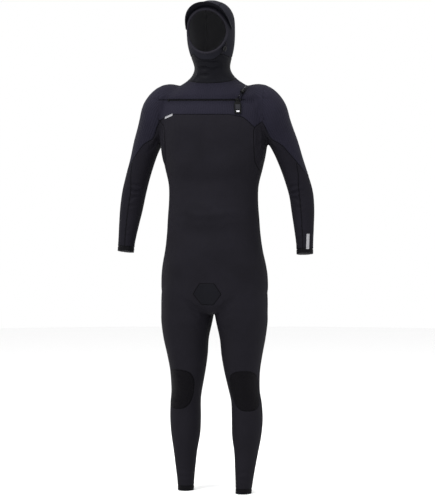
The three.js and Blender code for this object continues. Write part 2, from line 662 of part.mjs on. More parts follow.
// The brim stands forward from the skin, following the top of the face opening. Its root is cut to the skin.
function visor() {
  const steps = 16;
  const rings = Array.from({ length: steps + 1 }, (_, i) => {
    const turn = THREE.MathUtils.degToRad(VISOR.from + ((VISOR.to - VISOR.from) * i) / steps);
    const reach = VISOR.ends + (VISOR.reach - VISOR.ends) * Math.sin(turn) ** 0.7;
    const at = (out, forward) => {
      const x = (FACE.width / 2 + out) * Math.cos(turn);
      const z = FACE.height + (FACE.tall / 2 + out) * Math.sin(turn);
      const root = frontY((FACE.width / 2 + VISOR.out + VISOR.thick) * Math.cos(turn), z);
      return v3(x, Math.min(root, frontY(x, z)) + 4 - forward, z);
    };
    return [
      at(VISOR.out, 0),
      at(VISOR.out + VISOR.thick, 0),
      at(VISOR.out + VISOR.thick - 4, reach + 4),
      at(VISOR.out - 4, reach + 4),
    ];
  });
  return solid(loft(rings.reverse())).subtract(form(-KERF));
}

// A thin patch that lies on the skin inside an outline drawn in front view.
function skinPatch(outline, thick) {
  return form(-KERF - thick).subtract(form(-KERF)).intersect(frontPrism(outline, FRONT, 0));
}

// ---------- Colours ----------

const paint = (colour, roughness, metalness = 0) =>
  new THREE.MeshStandardMaterial({ color: colour, roughness, metalness });
const RIBBED = paint(0x2a2834, 0.8);
const NEOPRENE = paint(0x26252e, 0.7);
const SMOOTH = paint(0x1c1b20, 0.5);
const KNEE_RUBBER = paint(0x17161b, 0.6);
const TAPE = paint(0x151418, 0.7);
const HARD = paint(0x121214, 0.4);
const PALE = paint(0x77777a, 0.6);

const MATERIALS = [
  [/flap|zip_panel|chest_panel|yoke|armhole|upper_sleeve/, RIBBED],
  [/knee_pad/, KNEE_RUBBER],
  [/cuff|binding|tape/, TAPE],
  [/neck|visor|underarm|armpit|gusset/, SMOOTH],
  [/slider|stop|chain|barrel|button|tab/, HARD],
  [/badge|mark/, PALE],
  [/cord/, SMOOTH],
];
const materialOf = (name) => (MATERIALS.find(([match]) => match.test(name)) ?? [null, NEOPRENE])[1];

// ---------- Assembly ----------

const inner = form(WALL);
const faceHole = frontPrism(ovalOutline([0, FACE.height], FACE.width, FACE.tall, 28), FRONT, HEAD.back);
const shell = form(0).subtract(inner).subtract(faceHole);
const cuts = [...trunkCuts(), ...SIDES.flatMap(({ sign }) => [...sleeveCuts(sign), ...legCuts(sign)])];
const panels = shell
  .subtract(unite(cuts))
  .decompose()
  .filter((panel) => panel.volume() > OFFCUT)
  .map((panel) => panel.simplify(SMOOTHING));

const withPrefix = (prefix, set) =>
  Object.fromEntries(Object.entries(set).map(([name, geometry]) => [`${prefix}_${name}`, geometry]));
const FOREARM_MARK = [(WRIST.out + FOREARM.out) / 2 + 14, WRIST.height + 44];
const pieces = {
  ...namedPanels(panels, panelPlaces()),
  ...zipPieces(),
  zip_pull_tab: pullTab(),
  ...withPrefix("collar", cordSet(COLLAR_CORD)),
  ...withPrefix("hood", cordSet(HOOD_CORD)),
  face_binding: faceBinding(),
  visor_brim: visor(),
  chest_badge: skinPatch(rectangle([-140, ZIP_PANEL_LOW - 12], BADGE.wide, BADGE.tall), BADGE.thick),
  left_sleeve_mark: skinPatch(rectangle(FOREARM_MARK, MARK.wide, MARK.tall), MARK.thick),
};

const suit = new THREE.Group();
suit.name = "full_wetsuit";
for (const [name, piece] of Object.entries(pieces)) {
  const geometry = piece.isBufferGeometry ? piece : geometryOf(piece);
  const mesh = new THREE.Mesh(geometry, materialOf(name));
  mesh.name = name;
  suit.add(mesh);
}

export default suit;
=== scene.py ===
# %% [markdown]
# # Full wetsuit
# A hooded chest-zip wetsuit, filled out as if someone stood in it. A real one is cut from flat sheets of
# neoprene foam with cloth glued on both faces, and its edges are glued and stitched together. It could be
# made from flat patterns and a cloth simulation, but the suit is stretched tight on its wearer, so its
# shape is the wearer's. Here one skin is lofted, cut along its seams into panels, and each panel becomes
# its own sheet of neoprene. Lengths are in millimetres until a mesh is made.

# %% Bring in the frame
import json
import math

import bmesh
import bpy
import numpy as np
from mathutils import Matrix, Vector
from mathutils.bvhtree import BVHTree
from mathutils.kdtree import KDTree


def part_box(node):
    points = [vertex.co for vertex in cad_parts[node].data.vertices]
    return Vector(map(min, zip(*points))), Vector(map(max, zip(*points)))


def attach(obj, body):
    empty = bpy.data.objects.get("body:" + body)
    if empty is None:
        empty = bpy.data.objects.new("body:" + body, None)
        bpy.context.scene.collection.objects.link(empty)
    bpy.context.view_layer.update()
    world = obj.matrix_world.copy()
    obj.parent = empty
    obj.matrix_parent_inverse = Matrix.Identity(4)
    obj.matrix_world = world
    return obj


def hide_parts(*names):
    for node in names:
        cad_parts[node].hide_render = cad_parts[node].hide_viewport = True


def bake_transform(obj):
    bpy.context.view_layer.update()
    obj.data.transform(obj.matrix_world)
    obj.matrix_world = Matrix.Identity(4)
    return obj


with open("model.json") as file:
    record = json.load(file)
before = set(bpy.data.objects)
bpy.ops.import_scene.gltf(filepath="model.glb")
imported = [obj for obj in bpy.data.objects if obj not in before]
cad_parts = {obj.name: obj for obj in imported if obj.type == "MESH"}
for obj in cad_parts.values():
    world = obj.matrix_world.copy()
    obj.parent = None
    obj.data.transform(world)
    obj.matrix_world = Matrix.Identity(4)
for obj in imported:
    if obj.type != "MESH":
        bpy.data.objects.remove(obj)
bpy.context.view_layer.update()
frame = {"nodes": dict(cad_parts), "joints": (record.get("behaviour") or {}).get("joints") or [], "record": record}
joint = {j["name"]: j for j in frame["joints"]}

# %% Units, mesh fineness and cloth thickness
MM = 0.001
VOXEL = 3.8
# 5 mm neoprene, a little thinner here so that the lining stays inside its solid.
WALL = 4.6
print("voxel", VOXEL, "mm, cloth", WALL, "mm")

# %% [markdown]
# ## Sections
# The body under the suit is given as cross-sections, as a tailor takes measures at stations down the
# body. They could be drawn as outlines, but an oval with a squareness says nearly as much in five
# numbers, and stays easy to change. A trunk row is height, half width, half depth, how far back its
# middle sits, and squareness.

# %% Trunk, neck and head
TRUNK = [
    (-4, 14, 50, 4, 1.0),
    (8, 62, 84, 5, 1.0),
    (28, 140, 104, 6, 0.95),
    (60, 183, 116, 8, 0.9),
    (110, 188, 119, 8, 0.88),
    (160, 183, 116, 4, 0.88),
    (216, 172, 111, -2, 0.9),
    (272, 165, 106, -6, 0.9),
    (328, 161, 102, -9, 0.9),
    (384, 157, 100, -9, 0.9),
    (440, 158, 102, -6, 0.9),
    (495, 170, 109, -2, 0.88),
    (540, 180, 115, 0, 0.86),
    (590, 187, 119, 1, 0.85),
    (645, 190, 120, 2, 0.86),
    (700, 187, 115, 2, 0.88),
    (740, 176, 103, 1, 0.9),
    (772, 146, 89, -2, 0.95),
    (795, 106, 77, -6, 1.0),
    (814, 80, 70, -12, 1.0),
    (834, 66, 66, -20, 1.0),
    (852, 62, 66, -27, 1.0),
    (878, 68, 76, -36, 1.0),
    (906, 76, 87, -42, 0.97),
    (940, 81, 97, -46, 0.95),
    (985, 82, 103, -48, 0.95),
    (1022, 79, 101, -47, 0.95),
    (1050, 67, 88, -44, 1.0),
    (1070, 46, 62, -42, 1.0),
    (1082, 14, 20, -41, 1.0),
]
print("trunk from", TRUNK[0][0], "to", TRUNK[-1][0])

# %% [markdown]
# A leg row is height, distance out from the middle, half width, half depth, and how far back. The calf
# swells at the back, so the middle moves back below the knee. A sleeve row reads the same, from the
# shoulder to the wrist.

# %% Legs
LEG = [
    (110, 96, 84, 98, 6),
    (72, 97, 89, 100, 6),
    (36, 97, 91, 100, 6),
    (-2, 96, 92, 99, 5),
    (-36, 99, 89, 98, 5),
    (-93, 102, 79, 89, 5),
    (-150, 99, 71, 80, 9),
    (-207, 99, 62, 70, 14),
    (-264, 104, 55, 61, 21),
    (-293, 108, 53, 58, 26),
    (-321, 112, 53, 59, 31),
    (-378, 114, 54, 61, 35),
    (-435, 113, 51, 57, 32),
    (-492, 113, 42, 47, 26),
    (-550, 111, 35, 40, 17),
    (-607, 109, 29, 34, 10),
    (-650, 108, 28, 34, 7),
]
print("leg from", LEG[0][0], "to", LEG[-1][0])

# %% Sleeves
SLEEVE = [
    (751, 112, 36, 48, 2),
    (742, 162, 53, 60, 2),
    (705, 194, 60, 64, 4),
    (655, 213, 57, 62, 9),
    (615, 232, 51, 56, 17),
    (579, 248, 47, 51, 24),
    (523, 267, 43, 47, 34),
    (467, 285, 42, 45, 41),
    (412, 300, 42, 44, 46),
    (356, 308, 40, 41, 38),
    (300, 314, 35, 36, 26),
    (244, 319, 30, 31, 15),
    (206, 321, 29, 30, 8),
    (190, 322, 29, 30, 5),
]
print("sleeve from", SLEEVE[0][0], "to", SLEEVE[-1][0])

# %% [markdown]
# ## Where the parts of the pattern meet
# These are the heights and distances of the seams, shared by every field below. One number in one place
# keeps a seam, its panel and its trim together when the size changes.

# %% Pattern sizes
# How far the left leg steps forward and the right one back, and the inside leg.
STRIDE = 20
INSEAM = 632
# The face opening: height of its middle, half width, half height.
FACE = (974, 72, 77)
CHIN = 880
# Distance out to the armhole, and the width of the band past it.
ARMHOLE = 185
BAND = 40
# Half the width of the hood's crown strip.
CROWN_HALF = 41
# The chest zip lies on an arc seen from above.
ZIP_HEIGHT = 738
ZIP_RADIUS = 300
ZIP_X = (-150, 112)
FLAP_X = 126
BACK_YOKE = 628
KNEE_TOP = -196
KNEE_BOTTOM = -346
# Width of the tape at wrists and ankles.
HEM = 16
GUSSET = [(-26, 105), (-50, 68), (-20, 31), (20, 31), (50, 68), (26, 105)]
zip_axis = np.array(joint["zip_travel"]["pos_m"]) / MM
print("the zip's arc turns about", np.round(zip_axis, 1))

# %% [markdown]
# ## Lofting
# The sections are joined by a curve that goes through every row, then by rings of points. A subdivision
# surface could do this with fewer points, but it pulls away from its rows, and a suit has to keep its
# measured girths.


# %% A smooth curve through the rows
def through(rows, count):
    """A smooth curve through rows of numbers, sampled evenly between them."""
    p = np.array(rows, float)
    p = np.vstack([2 * p[0] - p[1], p, 2 * p[-1] - p[-2]])
    t = np.linspace(0, len(rows) - 1 - 1e-9, count)
    i = t.astype(int)
    u = (t - i)[:, None]
    a, b, c, d = p[i], p[i + 1], p[i + 2], p[i + 3]
    return 0.5 * (2 * b + (c - a) * u + (2 * a - 5 * b + 4 * c - d) * u**2 + (3 * b - a - 3 * c + d) * u**3)


print("half width of the trunk, sampled five times:", through(TRUNK, 5)[:, 1].round(1))


# %% Rings to faces
def loft(rings):
    """Points and faces of a closed form whose sections are the rings."""
    n, m = rings.shape[:2]
    ends = [rings[0].mean(0), rings[-1].mean(0)]
    faces = []
    for j in range(m):
        k = (j + 1) % m
        faces += [(i * m + j, i * m + k, (i + 1) * m + k, (i + 1) * m + j) for i in range(n - 1)]
        faces += [(n * m, k, j), (n * m + 1, (n - 1) * m + j, (n - 1) * m + k)]
    return np.vstack([rings.reshape(-1, 3), ends]), faces


ROUND = 64
ROWS_BETWEEN = 4
TURNS = np.linspace(0, 2 * math.pi, ROUND, endpoint=False)


def oval(power):
    """Across and deep parts of an oval of half size 1. A power under 1 makes it squarer."""
    c = np.cos(TURNS)
    s = np.sin(TURNS)
    return np.sign(c) * np.abs(c) ** power, np.sign(s) * np.abs(s) ** power


print("an oval has", len(oval(1.0)[0]), "points")


# %% Rings of the trunk and the limbs
def trunk_rings():
    """Level ovals from the crotch to the crown."""
    rings = []
    for z, width, depth, back, power in through(TRUNK, ROWS_BETWEEN * len(TRUNK)):
        c, s = oval(power)
        rings.append(np.stack([width * c, depth * s + back, np.full(ROUND, z)], 1))
    return np.array(rings)


def limb_rings(rows, side, level):
    """Ovals down a limb, level for a leg, and square to the limb for a sleeve."""
    rows = through(rows, ROWS_BETWEEN * len(rows))[::-1]
    middle = np.stack([side * rows[:, 1], rows[:, 4], rows[:, 0]], 1)
    along = np.gradient(middle, axis=0)
    c, s = oval(0.96)
    rings = []
    for at, up, (_, _, width, depth, _) in zip(middle, along, rows):
        up = np.array([0, 0, 1.0]) if level else up / np.linalg.norm(up)
        across = np.cross([0, 1.0, 0], up)
        across /= np.linalg.norm(across)
        deep = np.cross(up, across)
        rings.append(at + np.outer(width * c, across) + np.outer(depth * s, deep))
    return np.array(rings)


print("trunk", len(trunk_rings()), "rings, sleeve", len(limb_rings(SLEEVE, 1, False)), "rings")


# %% Meshes in and out of millimetres
def mesh_object(name, verts, faces):
    """A new object from points in millimetres."""
    mesh = bpy.data.meshes.new(name)
    mesh.from_pydata((np.asarray(verts) * MM).tolist(), [], [tuple(int(i) for i in f) for f in faces])
    mesh.update()
    obj = bpy.data.objects.new(name, mesh)
    bpy.context.scene.collection.objects.link(obj)
    return obj


def apply_modifiers(obj):
    """Turns an object's modifiers into mesh."""
    depsgraph = bpy.context.evaluated_depsgraph_get()
    mesh = bpy.data.meshes.new_from_object(obj.evaluated_get(depsgraph))
    obj.modifiers.clear()
    obj.data = mesh
    return obj


def points_mm(mesh):
    """A mesh's points, in millimetres."""
    co = np.empty(3 * len(mesh.vertices), np.float32)
    mesh.vertices.foreach_get("co", co)
    return co.reshape(-1, 3).astype(float) / MM


print("mesh helpers ready")

# %% [markdown]
# ## One skin
# Trunk, legs and sleeves have to meet in soft hollows at the armpits and the crotch. A boolean union
# would leave hard creases there, so the lofts are merged by a voxel remesh and smoothed, which rounds
# every meeting the way stretched foam does.


# %% Merge the lofts
def build_skin():
    """Trunk, legs and sleeves as one smooth closed surface."""
    verts = []
    faces = []
    parts = [trunk_rings()]
    parts += [limb_rings(LEG, s, True) for s in (1, -1)]
    parts += [limb_rings(SLEEVE, s, False) for s in (1, -1)]
    for rings in parts:
        v, f = loft(rings)
        start = sum(len(a) for a in verts)
        verts.append(v)
        faces += [tuple(i + start for i in face) for face in f]
    skin = mesh_object("skin", np.vstack(verts), faces)
    remesh = skin.modifiers.new("merge", "REMESH")
    remesh.mode = "VOXEL"
    remesh.voxel_size = VOXEL * MM
    smooth = skin.modifiers.new("smooth", "SMOOTH")
    smooth.factor = 0.5
    smooth.iterations = 10
    return apply_modifiers(skin)


skin = build_skin()
print("skin has", len(skin.data.vertices), "points")

# %% [markdown]
# ## Muscles and folds
# A filled suit shows the chest, the shoulder blades, the seat, knees and calves, and it wrinkles where
# the limbs bend. Sculpting would do it by hand, and a cloth simulation would find the folds by itself,
# but slowly and not in the same place each time. Here each bump is a place, its three radii and its
# height, raised on the skin like clay. A bump off the middle has a twin on the other side.

# %% Bumps
BUMPS = [
    ((76, -112, 640), (58, 60, 46), 7),
    ((0, -120, 650), (15, 50, 62), -2.5),
    ((92, -104, 512), (52, 60, 38), 7),
    ((0, -110, 458), (120, 60, 26), -5),
    ((0, -104, 352), (95, 60, 36), 7),
    ((0, -104, 282), (95, 60, 28), -4.5),
    ((0, -104, 215), (85, 60, 50), 4),
    ((128, -84, 165), (42, 50, 46), 6),
    ((80, 108, 665), (48, 50, 66), 5),
    ((0, 108, 470), (17, 60, 190), -4.5),
    ((76, 112, 66), (60, 66, 60), 11),
    ((0, 118, 50), (14, 60, 60), -6),
    ((95, 92, -24), (60, 50, 16), -3),
    ((226, -40, 690), (34, 40, 46), 3),
    ((104, -36, -258), (32, 34, 34), 4.5),
    ((113, 84, -385), (32, 40, 66), 3.5),
    ((306, 90, 404), (24, 26, 26), 3),
    ((150, -60, 770), (30, 40, 14), -2),
    ((115, -80, 758), (18, 40, 18), -2.5),
]
print(len(BUMPS), "bumps")

# %% [markdown]
# A crease is a place, the way it runs, half its length, its width and its depth. Foam 5 mm thick folds in
# soft valleys with a raised lip, at the armpit, inside the elbow, behind the knee, at the neck and across
# the waist.

# %% Creases
CREASES = [
    ((172, -62, 592), (-0.35, 0.2, 1.0), 42, 6, 3.8),
    ((186, -40, 556), (-0.5, 0.2, 1.0), 36, 6, 3.2),
    ((200, -22, 600), (-0.6, 0.3, 1.0), 38, 6, 3.4),
    ((216, -16, 575), (-0.7, 0.4, 0.7), 26, 5, 1.8),
    ((196, 56, 580), (-0.5, -0.2, 1.0), 40, 6, 2.2),
    ((280, 2, 440), (1, -0.2, 0.3), 26, 5, 2.0),
    ((284, 2, 418), (1, -0.2, 0.05), 30, 5, 2.4),
    ((288, 2, 394), (1, -0.2, -0.3), 26, 5, 2.0),
    ((304, -2, 372), (1, -0.1, 0.2), 18, 5, 1.4),
    ((318, -10, 262), (1, 0, 0.3), 18, 5, 1.2),
    ((316, -8, 284), (1, 0, -0.25), 18, 5, 1.0),
    ((40, -90, -14), (1, 0, 0.65), 40, 7, 2.0),
    ((52, -96, 22), (1, 0, 0.55), 46, 8, 1.8),
    ((64, -84, -50), (1, 0, 0.5), 36, 7, 1.4),
    ((104, 76, -262), (1, 0, 0.1), 38, 6, 2.8),
    ((104, 78, -282), (1, 0, -0.12), 38, 6, 2.6),
    ((104, 74, -240), (1, 0, 0.25), 30, 6, 2.0),
    ((104, -34, -222), (1, 0, 0.1), 30, 6, 1.2),
    ((108, -30, -312), (1, 0, -0.15), 30, 6, 1.4),
    ((112, -16, -334), (1, 0, 0.12), 26, 6, 1.2),
    ((110, -22, -560), (1, 0, 0.2), 22, 5, 1.3),
    ((110, -24, -586), (1, 0, -0.25), 22, 5, 1.3),
    ((110, 54, -556), (1, 0, -0.2), 22, 5, 1.5),
    ((110, 48, -584), (1, 0, 0.2), 20, 5, 1.3),
    ((0, -88, 842), (1, 0, 0.06), 52, 6, 2.6),
    ((14, -96, 866), (1, 0, -0.2), 40, 6, 2.2),
    ((-18, -84, 822), (1, 0, 0.22), 40, 6, 2.0),
    ((0, 42, 852), (1, 0, 0.0), 46, 6, 2.4),
    ((0, -104, 360), (1, 0, 0.05), 70, 10, 1.0),
    ((60, -98, 330), (1, 0, 0.12), 60, 9, 1.0),
    ((60, 88, 340), (1, 0, -0.1), 66, 9, 2.2),
    ((50, 88, 368), (1, 0, 0.1), 66, 9, 2.0),
    ((62, 94, 312), (1, 0, -0.2), 56, 9, 1.8),
]
# Points this close to the middle line have no twin.
ON_MIDDLE = 20
print(len(CREASES), "creases")


# %% Raise the bumps
def vertex_normals(mesh):
    """The way each point of a mesh faces."""
    out = np.empty(3 * len(mesh.vertices), np.float32)
    mesh.vertex_normals.foreach_get("vector", out)
    return out.reshape(-1, 3).astype(float)


def twins(rows):
    """Each row for the left side, and for the right side if it is off the middle."""
    for row in rows:
        yield row, 1
        if abs(row[0][0]) > ON_MIDDLE:
            yield row, -1


def bump_lift(v):
    """How far the bumps raise each point."""
    lift = np.zeros(len(v))
    for (at, radii, height), s in twins(BUMPS):
        d = (v - np.array(at) * (s, 1, 1)) / radii
        lift += height * np.exp(-(d**2).sum(1))
    return lift


print("highest bump", max(row[2] for row in BUMPS), "mm")


# %% Press the creases
# The lip stands this many widths from the valley, and is this share of its depth.
LIP_AWAY = 2.1
LIP_SHARE = 0.75


def crease_lift(v, n):
    """How far the creases press or raise each point. Each valley wanders a few millimetres."""
    lift = np.zeros(len(v))
    for (at, way, half, width, depth), s in twins(CREASES):
        way = np.array(way, float) * (s, 1, 1)
        way /= np.linalg.norm(way)
        d = v - np.array(at) * (s, 1, 1)
        run = d @ way
        near = np.flatnonzero((np.abs(run) < 2 * half) & ((d**2).sum(1) < (3 * half) ** 2))
        across = d[near] - np.outer(run[near], way)
        across -= n[near] * (across * n[near]).sum(1)[:, None]
        side = np.sign(across[:, 2] + 0.3 * across[:, 0])
        wander = 3.5 * np.sin(run[near] / 13 + at[2]) + 2.0 * np.sin(run[near] / 7 + at[0])
        apart = np.abs(side * np.linalg.norm(across, axis=1) + wander) / width
        fade = np.exp(-((run[near] / half) ** 2))
        facing = np.clip((n[near] @ (n[np.argmin((d**2).sum(1))])), 0, 1)
        lip = LIP_SHARE * np.exp(-((apart - LIP_AWAY) ** 2))
        lift[near] += depth * fade * facing * (lip - np.exp(-(apart**2)))
    return lift


print("deepest crease", max(row[4] for row in CREASES), "mm")

# %% [markdown]
# The zip holds the chest to an arc, flatter than the muscles under it, so the chest is eased onto that
# arc near the zip. Otherwise the tape would hang off the cloth or sink into it.


# %% Shape the skin
def ease_to_zip(v):
    """Moves the chest onto the zip's arc, fading out above, below and to the sides."""
    x, y, z = v.T
    front = (y < -20) & (np.abs(x) < 175) & (np.abs(z - ZIP_HEIGHT) < 70)
    arc = zip_axis[1] - np.sqrt(np.clip(ZIP_RADIUS**2 - x**2, 0, None))
    inside = np.clip((172 - np.abs(x)) / 24, 0, 1)
    share = np.exp(-(((z - ZIP_HEIGHT) / 24) ** 2)) * inside
    v[:, 1] = np.where(front, y + share * (arc - y), y)


def shape(mesh):
    """Bumps, creases and the zip's arc, in that order."""
    v = points_mm(mesh)
    n = vertex_normals(mesh)
    lift = bump_lift(v) + crease_lift(v, n)
    v += n * lift[:, None]
    ease_to_zip(v)
    mesh.vertices.foreach_set("co", (v * MM).ravel())
    mesh.update()


shape(skin.data)
print("skin is", round(2 * max(v.co.x for v in skin.data.vertices) / MM), "mm wide, sleeves and all")

# %% [markdown]
# ## Seams
# On the real suit a seam is where two panels are glued edge to edge. A seam could be drawn as a curve on
# the mesh, but a curve has to be projected and trimmed. Here it is a field, a number at every point that
# is zero along the seam and counts millimetres away from it, with a region that it holds in.


# %% Helpers for the fields
def smooth_step(t):
    """0 to 1 with level ends."""
    t = np.clip(t, 0, 1)
    return t * t * (3 - 2 * t)


def rounded_line(points):
    """A height or distance that follows points, rounded at its corners."""
    p = np.array(sorted(points), float)

    def value(t):
        spread = [np.interp(t + k, p[:, 0], p[:, 1]) for k in (-9, -4.5, 0, 4.5, 9)]
        return np.mean(spread, 0)

    return value


def ax(p):
    """Distance out from the middle, the same on both sides."""
    return np.abs(p[:, 0])


def everywhere(p):
    return np.ones(len(p), bool)


print("rounded corner:", rounded_line([(0, 0), (50, 50), (100, 0)])(50))

# %% [markdown]
# The seams that wander are given by a few points: the zip band's lower edge, the flap's far edge, the
# side panel's edge, and the diagonal where the ribbed shoulder meets the smooth underarm. The last two
# run down the sleeve and down the outside of the leg.

# %% Lines of the wandering seams
zip_low = rounded_line(
    [(-190, 662), (-158, 679), (-122, 688), (84, 688), (126, 679), (158, 646), (190, 620)]
)
flap_edge = rounded_line([(700, 108), (738, 112), (766, 121), (790, 133), (830, 142)])
side_edge = rounded_line([(440, 182), (452, 179), (530, 158), (640, 158), (652, 166), (664, 186)])
shoulder_edge = rounded_line([(184, 664), (206, 604), (246, 584), (290, 530), (336, 464), (360, 430)])
forearm_seam = rounded_line([(250, 318), (330, 312), (430, 300), (480, 300), (530, 292)])


def sleeve_front(z):
    """How far back the front of the sleeve ends at each height."""
    return np.interp(z, [200, 300, 412, 530], [8, 26, 46, 33])


def leg_side(p):
    """The seam down the outside of the leg follows the leg's middle."""
    return p[:, 1] - np.interp(p[:, 2], [-616, -400, -264, -120, 90], [9, 34, 21, 6, 0])


print("the zip band is", ZIP_HEIGHT - zip_low(0).round(1), "mm high at the middle")


# %% Planes across the sleeve
# The elbow panel reaches this far up and down from the elbow.
ELBOW_REACH = 52


def plane(at, way):
    """The field of a plane through a point, the same on both sides."""
    at = np.array(at, float)
    way = np.array(way, float)
    way = way / np.linalg.norm(way)
    return lambda p: (np.stack([ax(p), p[:, 1], p[:, 2]], 1) - at) @ way


ELBOW = np.array([300, 46, 412.0])
ELBOW_WAY = np.array([264 - 311, 0, 540 - 330.0])
ELBOW_WAY /= np.linalg.norm(ELBOW_WAY)
wrist_hem = next(m for m in frame["record"]["mounts"] if m["name"] == "left_wrist_hem")
WRIST = np.array(wrist_hem["pos_m"]) / MM
WRIST_WAY = -np.array(wrist_hem["axis"])
elbow_top = plane(ELBOW + ELBOW_REACH * ELBOW_WAY, ELBOW_WAY)
elbow_low = plane(ELBOW - ELBOW_REACH * ELBOW_WAY, ELBOW_WAY)
wrist_top = plane(WRIST + HEM * WRIST_WAY, WRIST_WAY)
wrist_end = plane(WRIST, WRIST_WAY)
print("wrist hem at", WRIST.round(1))


# %% Collar, jaw and face
def is_arm(p):
    """True on the sleeves below the shoulder."""
    x, z = ax(p), p[:, 2]
    return (x > 205 + np.clip(540 - z, 0, 60) * 0.1) & (z > 150)


def collar(p):
    """The base of the neck, lower in front than behind."""
    return p[:, 2] - (797 + (p[:, 1] + 83) * 0.25)


def jaw(p):
    """The hood's lower edge, a shallow curve under the chin."""
    front = 875 + 19 * np.exp(-(((ax(p) - 52) / 20) ** 2))
    return p[:, 2] - (front + smooth_step((p[:, 1] + 90) / 90) * (884 - front))


def face(p):
    """The oval face opening, negative inside."""
    z, half, tall = FACE
    r = np.sqrt((p[:, 0] / half) ** 2 + ((p[:, 2] - z) / tall) ** 2)
    return (r - 1) * half


probe = np.array([[0, -120.0, FACE[0]]])
print("the face's middle is", -face(probe)[0], "mm inside its edge")


# %% Legs, gusset and knees
# The lines across the top of the leg rise half a millimetre for each one outwards.
LEG_SLOPE = 0.5


def across_leg(height):
    """The field of a line across the leg that rises outwards."""
    return lambda p: (p[:, 2] - height - LEG_SLOPE * ax(p)) * math.cos(math.atan(LEG_SLOPE))


leg_opening = across_leg(-3)
hip_line = across_leg(-153)


def gusset(p):
    """The six-sided panel at the crotch, negative inside."""
    pts = np.array(GUSSET, float)
    best = None
    for a, b in zip(pts, np.roll(pts, -1, 0)):
        edge = (b - a) / np.linalg.norm(b - a)
        out = np.array([-edge[1], edge[0]]) * -1
        d = (p[:, [0, 2]] - a) @ out
        best = d if best is None else np.maximum(best, d)
    return best


# The knee pad: height of its middle, half height, degrees outwards of its middle, and half its spread.
PAD_MIDDLE = -272
PAD_HALF = 70
PAD_TURN = 18
PAD_SPREAD = 56
# How square the pad is, and the millimetres that its field counts from middle to edge.
PAD_SQUARE = 2.6
PAD_SCALE = 55


def knee_pad(p):
    """The pad that wraps the knee, negative inside."""
    rows = np.array([(r[0], r[1], r[4]) for r in LEG])[::-1]
    x = np.interp(p[:, 2], rows[:, 0], rows[:, 1])
    y = np.interp(p[:, 2], rows[:, 0], rows[:, 2])
    turn = np.degrees(np.arctan2(ax(p) - x, -(p[:, 1] - y)))
    a = np.abs(turn - PAD_TURN) / PAD_SPREAD
    z = np.abs(p[:, 2] - PAD_MIDDLE) / PAD_HALF
    return ((a**PAD_SQUARE + z**PAD_SQUARE) ** (1 / PAD_SQUARE) - 1) * PAD_SCALE


print("gusset's middle is", round(-gusset(np.array([[0, -110.0, 68]]))[0]), "mm inside its edge")

# %% [markdown]
# ## Cutting the skin
# The list below is the pattern: each row is a seam's name, its field, the region it holds in, and whether
# it shows as a groove. Some only part the suit at a joint, where the real one has no seam, so they don't
# show.

# %% Seams of the head, neck and sleeves
SEAMS = [
    ("face", face, lambda p: (p[:, 1] < -70) & (p[:, 2] > CHIN), False),
    ("wrist end", wrist_end, is_arm, False),
    ("ankle end", lambda p: p[:, 2] + INSEAM, everywhere, False),
    ("collar", collar, lambda p: (ax(p) < 132) & (p[:, 2] > 770) & (p[:, 2] < 870), True),
    ("jaw", jaw, lambda p: (p[:, 2] > 870) & (p[:, 2] < 930), True),
    (
        "crown",
        lambda p: ax(p) - CROWN_HALF,
        lambda p: (jaw(p) > 0) & ((p[:, 1] > -70) | (p[:, 2] > 1000)),
        True,
    ),
    ("chin", lambda p: p[:, 0], lambda p: (jaw(p) > 0) & (p[:, 1] < -70) & (p[:, 2] < 984), False),
    ("armhole", lambda p: ax(p) - ARMHOLE, lambda p: (p[:, 2] > 470) & (p[:, 2] < 840), False),
    ("band", lambda p: ax(p) - ARMHOLE - BAND, lambda p: (p[:, 2] > 500) & (p[:, 2] < 800), False),
    (
        "shoulder edge",
        lambda p: (p[:, 2] - shoulder_edge(ax(p))) * 0.7,
        lambda p: (ax(p) > ARMHOLE - 1) & (p[:, 2] > 430) & (p[:, 2] < 690),
        True,
    ),
    ("elbow top", elbow_top, is_arm, False),
    ("elbow low", elbow_low, is_arm, False),
    ("wrist top", wrist_top, is_arm, True),
]
print(len(SEAMS), "seams so far")

# %% Seams of the body
SEAMS += [
    (
        "side edge",
        lambda p: ax(p) - side_edge(p[:, 2]),
        lambda p: (ax(p) < ARMHOLE + 1) & (p[:, 2] > 455) & (p[:, 2] < 664),
        True,
    ),
    (
        "zip low",
        lambda p: (p[:, 2] - zip_low(p[:, 0])) * 0.95,
        lambda p: (p[:, 1] < 0) & (ax(p) < ARMHOLE) & (p[:, 2] > 640) & (p[:, 0] < 160),
        True,
    ),
    (
        "zip",
        lambda p: p[:, 2] - ZIP_HEIGHT,
        lambda p: (p[:, 1] < 0) & (p[:, 0] > -ARMHOLE) & (p[:, 0] < FLAP_X),
        True,
    ),
    (
        "flap edge",
        lambda p: p[:, 0] - flap_edge(p[:, 2]),
        lambda p: (p[:, 1] < 0) & (p[:, 2] > ZIP_HEIGHT) & (collar(p) < 0) & (p[:, 0] > 90),
        True,
    ),
    (
        "zip end",
        lambda p: p[:, 0] - FLAP_X,
        lambda p: (p[:, 1] < 0) & (p[:, 2] > 670) & (p[:, 2] < ZIP_HEIGHT),
        False,
    ),
    (
        "shoulder",
        lambda p: p[:, 1],
        lambda p: (ax(p) < ARMHOLE) & (p[:, 2] > 655) & (collar(p) < 0),
        False,
    ),
    ("neck side", lambda p: p[:, 1], lambda p: (collar(p) > 0) & (jaw(p) < 0), False),
    (
        "side",
        lambda p: p[:, 1],
        lambda p: (ax(p) < 205) & (p[:, 2] < 500) & (p[:, 2] > -12) & (leg_opening(p) > 0),
        True,
    ),
]
print(len(SEAMS), "seams so far")

# %% Seams of the legs and the back
def outer_leg(p):
    """The outside of the leg, from the hip to the hem tape."""
    outside = (ax(p) > 112) & (ax(p) < 215) & (leg_opening(p) < 2)
    return outside & (p[:, 2] < 110) & (p[:, 2] > HEM - INSEAM)


